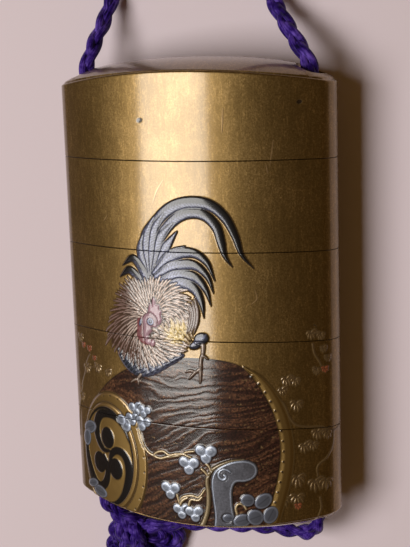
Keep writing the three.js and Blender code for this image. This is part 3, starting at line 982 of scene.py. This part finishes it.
def draw_right_hoop(picture):
    line = [
        (11.6, -11.2), (14.2, -13.1), (16.6, -16.4), (18.4, -20.4), (19.4, -25), (19.5, -29.4),
        (18.9, -33.4), (17.9, -37.4), (16.9, -41), (16.2, -45),
    ]
    widths = (0.1, 0.95, 1.25, 1.3, 1.3, 1.25, 1.2)
    at, aside, along = picture.beside(line, 1.7)
    half = np.interp(along, np.linspace(0, 1, len(widths)), widths)
    mask = cover(np.abs(aside) - half)
    across = aside / half
    bulge = 0.06 + 0.12 * eased(1 - np.abs(across), 0, 0.7)
    picture.lay(at, mask, GOLD_GROUND, 1.3 + 0.1 * across, bulge)
    picture.lay(at, mask * cover(half - 0.18 - aside, 0.16) * 0.85, SEPIA, 0.8)
    places = flat_line(line)
    for i in range(8, len(places) - 3, 7):
        way = (places[i + 1] - places[i - 1]) / np.linalg.norm(places[i + 1] - places[i - 1])
        stud = places[i] + 0.72 * np.array([way[1], -way[0]])
        picture.disc(stud, (0.24, 0.24), SEPIA, shade=0.7, height=(0.2, 0.17))


def draw_drum_head(picture):
    bands = [(HOOP, HOOP_SIZES, 1.12, 0.24), (INNER_HOOP, INNER_HOOP_SIZES, 1.3, 0.30)]
    for centre, sizes, shade, high in bands:
        at, out, _ = picture.ellipse(centre, sizes)
        edge = (out - 1) * 0.46 * (sizes[0] + sizes[1])
        picture.lay(at, cover(edge), GOLD_GROUND, shade, high * eased(-edge, 0, 0.5) + 0.06)
        picture.lay(at, cover(np.abs(edge + 0.12) - 0.12) * 0.85, SEPIA, 0.9)
        picture.lay(at, cover(np.abs(edge + 0.42) - 0.14) * 0.5, GOLD_LINE, 0.9)
    for i in range(STUDS):
        turn = 2 * math.pi * (i + 0.5) / STUDS
        stud = (HOOP[0] + STUD_SIZES[0] * math.cos(turn), HOOP[1] + STUD_SIZES[1] * math.sin(turn))
        if stud[0] > LAST_STUD_AT:
            picture.disc(stud, (0.18, 0.18), SEPIA, shade=1.0, height=(0.26, 0.24))
    at, out, _ = picture.ellipse(DRUM_HEAD, HEAD_SIZES)
    edge = (out - 1) * 8.2
    mottle = 1.12 + 0.2 * patchy(picture.s[at], picture.y[at], 1.2, 1.6, 15)
    picture.lay(at, cover(edge), HEAD_GOLD, mottle, 0.14)
    picture.lay(at, cover(np.abs(edge + 0.22) - 0.24), BLACK, 1.0, 0.2)
    draw_three_commas(picture)


def on_drum(turn, across, up):
    """A place on the drum's head, given on a round one of radius 1 that is turned."""
    return (
        DRUM_HEAD[0] + HEAD_SIZES[0] * (across * math.cos(turn) - up * math.sin(turn)),
        DRUM_HEAD[1] + HEAD_SIZES[1] * (across * math.sin(turn) + up * math.cos(turn)),
    )


def draw_three_commas(picture):
    """The old three-comma sign of a drum: round heads, each hugged by its own tail out to the ring."""
    tail = [(0.08, 0.13), (-0.14, 0.10), (-0.33, 0.20), (-0.45, 0.40), (-0.44, 0.62), (-0.28, 0.80),
            (0.0, 0.87), (0.32, 0.85), (0.62, 0.70), (0.84, 0.44)]
    widths = (0.3, 0.7, 0.85, 0.95, 1.0, 0.9, 0.75, 0.5, 0.25, 0.05)
    for third in range(3):
        turn = third * 2 * math.pi / 3 - 0.08
        picture.stroke([on_drum(turn, *place) for place in tail], widths, BLACK, 1.0, (0.2, 0.26))
        picture.disc(on_drum(turn, 0.0, 0.38), (1.8, 2.25), BLACK, height=(0.22, 0.3))


# ---- leaves, vines, stand and flowers ----
LOBE_SHARE = 0.6


def ivy_leaf(picture, centre, size, turn=0.0, finish=SILVER):
    """Three round, swelling lobes that meet in a point, each with a light rim and a dark outline; the light
    rim is partly the leaf's own light edge and partly a painted highlight.
    """
    lobes = []
    for way, share in ((268, 0.62), (150, LOBE_SHARE), (30, LOBE_SHARE)):
        angle = math.radians(way) + turn
        at_lobe = (centre[0] + 0.6 * size * math.cos(angle), centre[1] + 0.44 * size * math.sin(angle))
        lobes.append((at_lobe, (share * size, 0.88 * share * size), angle))
    for lobe, sizes, angle in lobes:
        picture.disc(lobe, (sizes[0] + 0.15, sizes[1] + 0.15), BLACK, angle, 1.0, (0.1, 0.12))
    for lobe, sizes, angle in lobes:
        at, out, _ = picture.ellipse(lobe, sizes, angle, 1.3)
        dome = np.sqrt(np.clip(1 - out**2, 0, 1))
        # a lighter band round each lobe's edge: partly the leaf's own light edge, partly a painted highlight
        # of the swelling edge
        light = 0.62 + 0.95 * eased(out, 0.5, 0.86) * eased(1.12 - out, 0.0, 0.2)
        light *= 0.75 + 0.5 * patchy(picture.s[at], picture.y[at], 0.35, 0.35, 11)
        picture.lay(at, cover((out - 1) * size * LOBE_SHARE), finish, light, 0.14 + 0.12 * dome)


def draw_stand(picture):
    outline = [
        (4.9, -45), (5.4, -41), (5.1, -37.6), (4.9, -35.0), (5.0, -33.4), (5.6, -31.9), (7.2, -30.6),
        (9.4, -29.7), (12, -29.5), (13.5, -30.3), (13.8, -31.7), (13, -33), (11.4, -33.7), (9.7, -33.9),
        (9.0, -35.2), (8.9, -38), (9.1, -45),
    ]
    at, out = picture.inside(outline)
    mask = cover(out)
    cloud = 0.8 + 0.4 * patchy(picture.s[at], picture.y[at], 1.0, 1.4, 8)
    picture.lay(at, cover(out - 0.14), BLACK, 1.0, 0.1)
    picture.lay(at, mask, PEWTER, cloud, 0.2 + 0.12 * eased(-out, 0, 0.5))
    picture.lay(at, mask * cover(np.abs(out + 0.24) - 0.13) * 0.7, SILVER, 1.5, 0.38)
    rail = [
        (1.9, -44.6), (3.3, -42), (4.1, -39.2), (4.25, -36.4), (4.1, -33.6), (4.9, -31.9), (6.6, -30.6),
        (9, -29.6), (11.4, -29.3),
    ]
    picture.stroke(rail, (0.62, 0.58, 0.55, 0.5, 0.45, 0.3, 0.1), BLACK, 1.0, (0.14, 0.2))
    picture.stroke(rail, (0.45, 0.42, 0.4, 0.36, 0.32, 0.2, 0.05), VINE, 0.42, (0.24, 0.42))
    spiral = []
    for t in np.linspace(0, 6.6, 18):
        radius = 0.2 + 0.2 * t
        spiral.append((7.4 + radius * math.cos(0.9 - t), -32.7 + radius * math.sin(0.9 - t)))
    picture.stroke(spiral, (0.36, 0.34, 0.3, 0.26), BLACK, 1.0, (0.26, 0.3))
    picture.stroke(spiral, (0.2, 0.18, 0.15, 0.1), SILVER, 1.6, (0.34, 0.46), 0.12)


def drooping_spray(picture, top, size, lean=0.0, petals=6, finish=GOLD_LINE, shade=0.62):
    """A low cluster of narrow curved petals that fan out and hang from one point."""
    for i in range(petals):
        side = 2 * (i + 0.5) / petals - 1
        swing = side * 1.5 + lean
        reach = size * (0.75 + 0.35 * (1 - side * side))
        points = []
        for share in (0.0, 0.35, 0.7, 1.0):
            out = reach * share
            across = out * math.sin(swing * (1 - 0.35 * share)) * 0.85
            arch = 0.3 * size * math.sin(math.pi * share * 0.7)
            drop = out * max(math.cos(swing), 0.12) * 0.9
            points.append((top[0] + across, top[1] + arch - drop))
        picture.stroke(points, (0.18, 0.36, 0.36, 0.1), SEPIA, 1.2, (0.0, 0.02))
        picture.stroke(points, (0.06, 0.22, 0.22, 0.02), finish, shade, (0.03, 0.13), 0.12)


def draw_sprays(picture):
    stems = [
        [
            (17.9, -17.2), (19.2, -18.8), (20.0, -21.0), (21.2, -22.6), (23.6, -23.1), (26, -23.2),
            (28.6, -24.2), (30.5, -23.4),
        ],
        [(24.6, -7.2), (24.9, -9.0), (25.8, -10.6), (26.4, -12.0)],
        [(28.4, -24.4), (28.2, -27), (26.9, -29.4), (25.2, -31), (25.3, -33.6)],
        [(20.4, -32.8), (19.7, -35), (18.6, -37)], [(25.6, -37.2), (25.8, -39.2), (25.2, -41)],
        [(-25.8, -19), (-24.6, -16.4), (-22.4, -14.6), (-20, -14.4)],
        [(-24.6, -16.4), (-23.6, -13.4), (-22.6, -12)],
        [(-27.8, -30), (-27.6, -26), (-26.6, -22), (-25.6, -19)],
    ]
    for points in stems:
        picture.stroke(points, (0.22, 0.2, 0.16), SEPIA, 1.6, (0.03, 0.05))
        picture.stroke(points, (0.11, 0.11, 0.08), GOLD_LINE, 0.5, (0.05, 0.12), 0.1)
    for s, y, size, lean in (
        (19.6, -13.6, 1.5, 0.3), (21.3, -13.8, 1.3, -0.2), (18.7, -15.6, 1.2, 0.5),
        (21.4, -18.4, 1.6, 0.0), (24.3, -5.0, 1.3, 0.3), (26.2, -5.4, 1.1, -0.2),
        (26.6, -8.0, 0.9, 0.2), (25.3, -12.1, 1.0, -0.3), (25.2, -24.1, 1.6, 0.2),
        (27.2, -24.3, 1.4, -0.3), (22.6, -26.6, 1.6, 0.4), (24.4, -26.4, 1.4, -0.2),
        (21.3, -33.0, 2.0, 0.1), (24.6, -33.9, 2.1, 0.3), (26.8, -33.8, 1.9, -0.2),
        (18.4, -37.4, 1.6, 0.3), (21.2, -36.8, 1.9, 0.0), (27.4, -9.8, 0.9, 0),
        (-23.8, -14.6, 1.5, 0.2), (-20.3, -14.0, 1.4, -0.2), (-17.6, -14.6, 1.1, 0.4),
        (-26, -21, 1.3, 0.1), (-25.4, -8.6, 1.2, 0),
    ):
        drooping_spray(picture, (s, y), 1.45 * size, lean, shade=0.62 if s > 0 else 0.72)
    for s, y, size in (
        (26.8, -11.9, 1.3), (21.3, -38.5, 1.3), (-22.8, -10.6, 1.3), (-24.6, -10.2, 1.1),
        (-21.4, -12.4, 1.0),
    ):
        drooping_spray(picture, (s, y), size, 0.1, 5, RUSSET, 0.9)


def draw_ivy(picture):
    vines = [
        [
            (-9.2, -28.4), (-8.4, -29.4), (-7.2, -30), (-5.6, -30.4), (-4, -29.9), (-2.6, -29.6),
            (-1.2, -29.2), (0.1, -28.5), (1.6, -28.2),
        ],
        [
            (-6.9, -29.8), (-6.1, -29.2), (-4.8, -28.9), (-3.6, -29.5), (-2, -29.1), (-0.6, -29.0),
            (0.3, -29.3), (1.0, -29.5),
        ],
        [(3.1, -29.6), (3.8, -30.4), (4.5, -31.0), (4.8, -31.8)],
        [(3.0, -31.6), (3.7, -32.2), (4.1, -32.8)],
        [
            (-2.2, -37.4), (-1.9, -38.6), (-1.6, -39.4), (-1.3, -38.0), (-0.3, -37.4), (1.0, -37.2),
            (2.2, -37.4), (3.0, -36.5), (3.5, -35.7),
        ],
        [(-1.7, -39.4), (-1.1, -38.4), (0.0, -37.7)],
        [(0.1, -40), (0.3, -38.7), (0.7, -38.0), (2.2, -38.0), (2.9, -37.3)],
        [(9.7, -40.2), (9.5, -39.0), (10.0, -38.2), (10.9, -38.3), (11.5, -39.2)],
        [(-9.6, -22), (-10.2, -24.4), (-9.9, -26.6), (-9.2, -28.4)],
    ]
    for points in vines:
        picture.stroke(points, (0.3, 0.3, 0.26), SEPIA, 0.8, (0.1, 0.14))
        picture.stroke(points, (0.17, 0.17, 0.13), VINE, 1.0, (0.2, 0.32), 0.12)
    for s, y, size, turn in (
        (-10.8, -21.0, 1.4, 0.3), (-8.8, -21.3, 1.3, -0.2), (-13.4, -24.2, 1.8, 0.2),
        (-11.7, -23.2, 1.3, 0.1), (-9.2, -23.8, 1.5, -0.2), (0.5, -31.0, 1.85, 0.0),
        (4.0, -28.4, 1.9, 0.0), (-3.6, -36.5, 1.8, 0.0), (-1.4, -40.5, 1.55, 0.1),
        (1.3, -40.7, 1.65, 0.15),
    ):
        ivy_leaf(picture, (s, y), size, turn)
    for s, y, wide, high, turn in (
        (7.9, -41.1, 1.0, 0.8, 0.0), (10.7, -41.5, 1.75, 1.2, 0.3), (13.2, -40.8, 1.5, 1.5, 0.4),
        (11.8, -37.4, 1.25, 1.15, 0.0), (14.8, -37.5, 1.8, 1.25, 0.7), (16.1, -40.3, 1.75, 1.25, 1.1),
        (-23.7, -27.2, 1.9, 1.2, 0.4), (-24.8, -29.6, 1.7, 1.1, 1.4), (-21.4, -40.3, 1.9, 1.1, -0.2),
        (-23.6, -39.0, 1.5, 0.8, 0.3),
    ):
        picture.disc((s, y), (wide + 0.15, high + 0.15), BLACK, turn, 1.0, (0.14, 0.2))
        at, out, _ = picture.ellipse((s, y), (wide, high), turn, 1.2)
        off_vein = (picture.s[at] - s) * math.sin(turn) - (picture.y[at] - y) * math.cos(turn)
        vein = np.exp(-(off_vein / 0.1) ** 2)
        # a lighter band towards each leaf's edge: partly the leaf's own light rim, partly a painted highlight
        # of its swelling edge
        light = 0.8 + 0.9 * eased(out, 0.7, 0.96)
        dome = 0.16 + 0.1 * np.sqrt(np.clip(1 - out**2, 0, 1))
        # the round leaves take the darker silver, which is painted shade
        picture.lay(at, cover((out - 1) * high), SHADED_SILVER, light, dome)
        picture.lay(at, cover((out - 0.8) * high) * vein * 0.5, BLACK)


def draw_wear(picture):
    """Chips and the longer scratches in the gold."""
    picture.disc((-7.2, 34.4), (0.62, 0.42), CHIP, 0.2, 1.0, (0.0, -0.06))
    picture.disc((22.8, 37.2), (0.55, 0.42), SEPIA, 0.3, 0.5, (0.0, -0.08))
    picture.stroke([(24.9, -3.6), (25.3, -3.9)], (0.16, 0.12), SEPIA, 0.6)
    scratches = [
        [(-5.1, 19.2), (-4.2, 21.4), (-2.7, 23.6)], [(17.3, 26), (18.0, 30.6)],
        [(13.4, 0.6), (14.4, 1.6), (14.1, 3.3)], [(16.9, 24.6), (16.6, 26.2)], [(8.8, 32), (9.1, 36.4)],
        [(-16.8, 15.2), (-15.8, 16.4)],
    ]
    for points in scratches:
        picture.stroke([(s + 0.12, y) for s, y in points], (0.03, 0.1, 0.03), SEPIA, 2.0, soft=0.16)
        picture.stroke(points, (0.03, 0.1, 0.03), GOLD_LINE, 1.1, soft=0.16)


def draw_picture(picture):
    for draw in (
        draw_sprays, draw_drum_body, draw_right_hoop, draw_drum_head, draw_stand, draw_ivy, draw_tail,
        draw_breast, draw_hackle, draw_wing, draw_head, draw_legs, draw_wear,
    ):
        draw(picture)


def unrolled(points):
    """Arc length from the middle of the front, gap outside the oval, and the outward way."""
    x, z = points[:, 0], points[:, 2] - MIDDLE_Z
    drop = HALF_DEPTH - ARC_RADIUS
    angle = np.arctan2(x, np.abs(z) - drop)
    on_end = np.abs(angle) > ARC_TURN
    end_angle = np.arctan2(np.abs(x) - END_X, z)
    s = np.where(
        on_end, np.sign(x) * (FRONT_LENGTH / 2 + END_RADIUS * (end_angle - ARC_TURN)), ARC_RADIUS * angle
    )
    out_arc = np.hypot(x, np.abs(z) - drop) - ARC_RADIUS
    out_end = np.hypot(np.abs(x) - END_X, z) - END_RADIUS
    way_x = np.where(on_end, np.sign(x) * np.sin(end_angle), np.sin(angle))
    way_z = np.where(on_end, np.cos(end_angle), np.sign(z) * np.cos(angle))
    return s, np.where(on_end, out_end, out_arc), np.stack([way_x, np.zeros_like(x), way_z], axis=1)


PICTURE_FROM_Z = 4


def lay_picture(sections):
    """Works the picture out at the front wall of all sections at once, and stores it on them."""
    all_points, all_s, all_front = [], [], []
    for section in sections:
        places = np.empty(len(section.data.vertices) * 3, np.float32)
        section.data.vertices.foreach_get("co", places)
        points = places.reshape(-1, 3).astype(float) / MM
        s, gap, way = unrolled(points)
        on_wall = (gap > -JOINT_BEVEL - 0.02) & (np.abs(points[:, 1]) < RIM_Y + 0.2)
        front = on_wall & (points[:, 2] > PICTURE_FROM_Z)
        all_points.append((points, way))
        all_s.append(s)
        all_front.append(front)
    s = np.concatenate([s[front] for s, front in zip(all_s, all_front)])
    y = np.concatenate([p[front][:, 1] for (p, _), front in zip(all_points, all_front)])
    picture = Picture(s, y)
    draw_picture(picture)
    done = np.maximum(picture.cover, 1e-6)
    start = 0
    for section, (points, way), front in zip(sections, all_points, all_front):
        count = int(front.sum())
        part = slice(start, start + count)
        start += count
        points[front] += way[front] * picture.height[part][:, None]
        section.data.vertices.foreach_set("co", (points * MM).astype(np.float32).ravel())
        colour = np.zeros((len(points), 4), np.float32)
        finish = np.zeros((len(points), 4), np.float32)
        colour[front, :3] = picture.colour[part] / done[part][:, None]
        colour[front, 3] = picture.cover[part]
        finish[front, 0] = picture.metal[part] / done[part]
        finish[front, 1] = picture.rough[part] / done[part]
        finish[front, 2] = picture.grainy[part]
        finish[front, 3] = 1
        for name, values in (("picture_colour", colour), ("picture_finish", finish)):
            layer = section.data.attributes.new(name, "FLOAT_COLOR", "POINT")
            layer.data.foreach_set("color", values.ravel())
        section.data.update()


GOLD = gold_lacquer()
SILK = silk()

sections = [lid_section(GOLD)]
for i in range(3):
    sections.append(middle_section(f"case_{i + 1}_shell", JOINTS[i], JOINTS[i + 1], GOLD))
sections.append(bottom_section(GOLD))
cutters = [channel_cutter(side) for side in (-1, 1)]
for section, node in zip(sections, ["lid", *CASES]):
    face_outwards(section)
    cut_channels(section, cutters)
    section.data.shade_smooth()
    section.data.set_sharp_from_angle(angle=math.radians(50))
    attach(section, "root")
    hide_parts(node)
for cutter in cutters:
    bpy.data.objects.remove(cutter)
lay_picture(sections)


# ---- the cord ----
def frames_along(line):
    """A tangent and two cross directions at each point, turning as little as they can."""
    tangents = np.gradient(line, axis=0)
    tangents /= np.linalg.norm(tangents, axis=1)[:, None]
    across = np.cross(tangents[0], [0, 0, 1.0])
    sides, ups = [], []
    for tangent in tangents:
        across = across - tangent * (across @ tangent)
        across /= np.linalg.norm(across)
        sides.append(across.copy())
        ups.append(np.cross(across, tangent))
    return tangents, np.array(sides), np.array(ups)


def plait(line, radius=CORD_DIAMETER / 2, pitch=15.0, turned=0.0, strands=3, sides=12):
    """Points and faces of a three-strand plait that follows a line, and how its threads run:
    the turn round the strand and the length along it, at every point."""
    step = np.linalg.norm(line[1] - line[0])
    along = np.arange(len(line)) * step
    _, side_way, up_way = frames_along(line)
    points, faces, threads = [], [], []
    angle = np.arange(sides) * 2 * math.pi / sides
    for strand in range(strands):
        turn = 2 * math.pi * (along / pitch + strand / strands) + turned
        swing = 0.46 * radius * np.sin(turn)
        lift = 0.36 * radius * np.sin(2 * turn)
        centre = line + swing[:, None] * side_way + lift[:, None] * up_way
        tangents = np.gradient(centre, axis=0)
        tangents /= np.linalg.norm(tangents, axis=1)[:, None]
        wide_way = side_way - tangents * np.einsum("ij,ij->i", side_way, tangents)[:, None]
        wide_way /= np.linalg.norm(wide_way, axis=1)[:, None]
        thick_way = np.cross(wide_way, tangents)
        wide, thick = 0.58 * radius, 0.54 * radius
        ring_points = (
            centre[:, None]
            + wide * np.cos(angle)[None, :, None] * wide_way[:, None]
            + thick * np.sin(angle)[None, :, None] * thick_way[:, None]
        ).reshape(-1, 3)
        start = sum(len(p) for p in points)
        points.append(np.vstack([ring_points, centre[:1], centre[-1:]]))
        faces += [[start + i for i in face] for face in ring_faces(len(line), sides)]
        ring_threads = np.stack(
            [np.tile(np.arange(sides) / sides, len(line)), np.repeat(along, sides)], axis=1,
        )
        threads.append(np.vstack([ring_threads, [[0, 0], [0, along[-1]]]]))
    return np.vstack(points), faces, np.vstack(threads)


def silk_object(name, parts):
    """One mesh of several plaits or bindings."""
    points, faces, threads = [], [], []
    for part_points, part_faces, part_threads in parts:
        start = sum(len(p) for p in points)
        points.append(part_points)
        faces += [[start + i for i in face] for face in part_faces]
        threads.append(part_threads)
    obj = mesh_object(name, np.vstack(points), faces, SILK)
    threads = np.vstack(threads)
    layer = obj.data.attributes.new("threads", "FLOAT_VECTOR", "POINT")
    layer.data.foreach_set("vector", np.column_stack([threads, np.zeros(len(threads))]).ravel())
    face_outwards(obj)
    obj.data.shade_smooth()
    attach(obj, "root")
    return obj


cord_line = smooth_line(CORD_ROUTE, 0.35)
cord = silk_object("plaited_cord", [plait(cord_line)])
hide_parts("cord")

# ---- the bow ----
KNOT = np.array([-19.2, -53, 4.4])


def wraps(turns, radius, rise, tilt):
    """A plait wound round the knot, a little aslant."""
    angle = np.linspace(0, 2 * math.pi * turns, int(48 * turns))
    height = rise * (angle / angle[-1] - 0.5) + tilt * np.sin(angle)
    line = KNOT + np.stack([radius * np.cos(angle), height, 0.9 * radius * np.sin(angle)], axis=1)
    return plait(smooth_line(line, 0.35), radius=1.25, pitch=11)


def bound_end(at, way):
    """The tight winding that closes a cut end, and the short fringe below it."""
    way = np.array(way, float) / np.linalg.norm(way)
    side = np.cross(way, [0, 0, 1.0])
    side /= np.linalg.norm(side)
    over = np.cross(side, way)
    angle = np.linspace(0, 2 * math.pi * 7, 7 * 16)
    line = (
        np.array(at, float) + way * (angle / angle[-1] * 2.4)[:, None]
        + 1.32 * (np.cos(angle)[:, None] * side + np.sin(angle)[:, None] * over)
    )
    parts = [tuft(line, 0.2)]
    for i in range(19):
        share = math.sqrt((i + 0.5) / 19)
        turn = i * 2.4
        spread = share * (math.cos(turn) * side + math.sin(turn) * over)
        start = np.array(at, float) + way * 2.0 + 0.8 * spread
        end = start + way * (4.4 + 0.5 * math.sin(3 * i)) + np.array([0.9, 0.9, 0.35]) * spread
        end[2] = max(end[2], 0.3)
        parts.append(tuft(np.linspace(start, end, 8), 0.24))
    return parts


def tuft(line, radius, sides=8):
    """A thin round thread along a line."""
    _, side_way, up_way = frames_along(line)
    angle = np.arange(sides) * 2 * math.pi / sides
    points = line[:, None] + radius * (
        np.cos(angle)[None, :, None] * side_way[:, None] + np.sin(angle)[None, :, None] * up_way[:, None]
    )
    threads = np.stack(
        [np.tile(np.arange(sides) / sides, len(line)), np.repeat(np.arange(len(line)) * 0.35, sides)], axis=1
    )
    return (
        np.vstack([points.reshape(-1, 3), line[:1], line[-1:]]), ring_faces(len(line), sides),
        np.vstack([threads, [[0, 0], [0, 0]]]),
    )


def from_knot(points):
    """Places in the frame, from places across and up from the knot and their height off the floor."""
    return [[KNOT[0] + across, KNOT[1] + up, height] for across, up, height in points]


def bow_parts():
    z = KNOT[2]
    right_loop = from_knot([
        (0.6, 1.2, z + 0.4), (3.0, 1.4, z - 0.2), (5.6, 1.6, 3.4), (8, 0.9, 3.0), (9.3, -1.2, 2.4),
        (8.0, -3.8, 1.9), (5.0, -4.0, 2.2), (2.4, -2.6, z - 1.6), (0.6, -1.2, z - 1),
    ])
    left_loop = from_knot([
        (-0.6, -0.4, z + 0.6), (-3.4, -0.8, z), (-5.6, -3.4, 2.8), (-6.9, -8, 2), (-5.6, -11.6, 1.8),
        (-3.2, -10.4, 1.9), (-2, -6, 2.6), (-0.6, -2, z - 0.4),
    ])
    left_end = from_knot([
        (-0.4, 1, z + 1), (-0.7, -3, z + 0.6), (-0.6, -7, 3), (0.6, -10, 1.9), (1.4, -12.4, 1.7),
    ])
    right_end = from_knot([
        (0.8, 1, z + 1), (1.8, -3.2, z + 0.4), (4, -6.8, 3), (5.6, -9.2, 1.9), (6.6, -11.2, 1.7),
    ])
    from_channel = from_knot([(-2.9, 4.6, 6.2), (-2.6, 3, 5.9), (-1.8, 1, 5.2), (-0.6, -0.6, z + 0.4)])
    from_right = from_knot([(5.2, 2.4, 6.2), (3, 1.2, 5.6), (0.8, -0.2, z + 0.4)])
    heart = from_knot([(3.4, 1.2, 4.4), (6.2, 0.4, 3.4), (6.0, -1.6, 2.6), (2.6, -1.6, 3.6)])
    shoulder = from_knot([(-3.4, 5.6, 6.6), (-2.2, 4.2, 6.9), (0.4, 3.0, 6.6), (2.6, 2.0, 5.4)])
    left_lap = from_knot([(-1.4, 2.6, 6.2), (-3.4, 1.6, 5.0), (-4.2, -0.8, 4.4), (-2.8, -2.8, 4.0)])
    left_fold = from_knot([(-1.5, 3.8, 6.8), (-1.2, 1.2, 7.4), (-1.0, -1.8, 6.6), (-1.4, -5.0, 4.6)])
    right_fold = from_knot([(1.2, 2.6, 6.6), (1.5, 0.6, 7.0), (1.6, -2.0, 6.2), (2.2, -5.4, 4.2)])
    parts = [
        plait(smooth_line(points, 0.35), radius=1.8, pitch=12, turned=turned)
        for points, turned in (
            (heart, 0.9), (shoulder, 2.0), (left_lap, 0.4), (left_fold, 1.4), (right_fold, 2.9),
        )
    ]
    parts += [
        plait(smooth_line(points, 0.35), turned=turned)
        for points, turned in (
            (right_loop, 0.5), (left_loop, 1.7), (left_end, 2.6), (right_end, 0.2),
            (from_channel, 1.2), (from_right, 2.2),
        )
    ]
    parts += [wraps(1.2, 2.15, 2.6, 0.7), wraps(1.0, 1.9, -1.6, -0.9)]
    for end in (left_end, right_end):
        parts += bound_end(end[-1], np.subtract(end[-1], end[-2]))
    return parts


bow = silk_object("silk_bow", bow_parts())
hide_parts("bow_knot")


# ---- floor and light ----
def add_floor():
    bpy.ops.mesh.primitive_plane_add(size=3, location=(0, 0, 0))
    floor = bpy.context.active_object
    floor.name = "floor"
    floor.data.materials.append(pale_floor())


def add_light(name, at, ahead, size, power, colour=(1, 1, 1), roll=0.0):
    data = bpy.data.lights.new(name, "AREA")
    data.shape = "RECTANGLE"
    data.size, data.size_y = size[0] * MM, size[1] * MM
    data.energy = power
    data.color = colour
    light = link(bpy.data.objects.new(name, data))
    light.matrix_world = aimed(at, ahead, roll)
    return light


def add_room(colour, strength):
    world = bpy.data.worlds.new("room")
    world.use_nodes = True
    background = world.node_tree.nodes["Background"]
    background.inputs["Color"].default_value = (*colour, 1)
    background.inputs["Strength"].default_value = strength
    bpy.context.scene.world = world


add_floor()
add_light(
    "window", at=(-286, -9, 660), ahead=(0.431, 0.177, -0.885), size=(414, 426), power=4.35,
    colour=(1.0, 0.97, 0.92), roll=math.radians(6),
)
add_room(colour=(0.095, 0.053, 0.014), strength=1.0)
bpy.context.scene.view_settings.view_transform = "Standard"
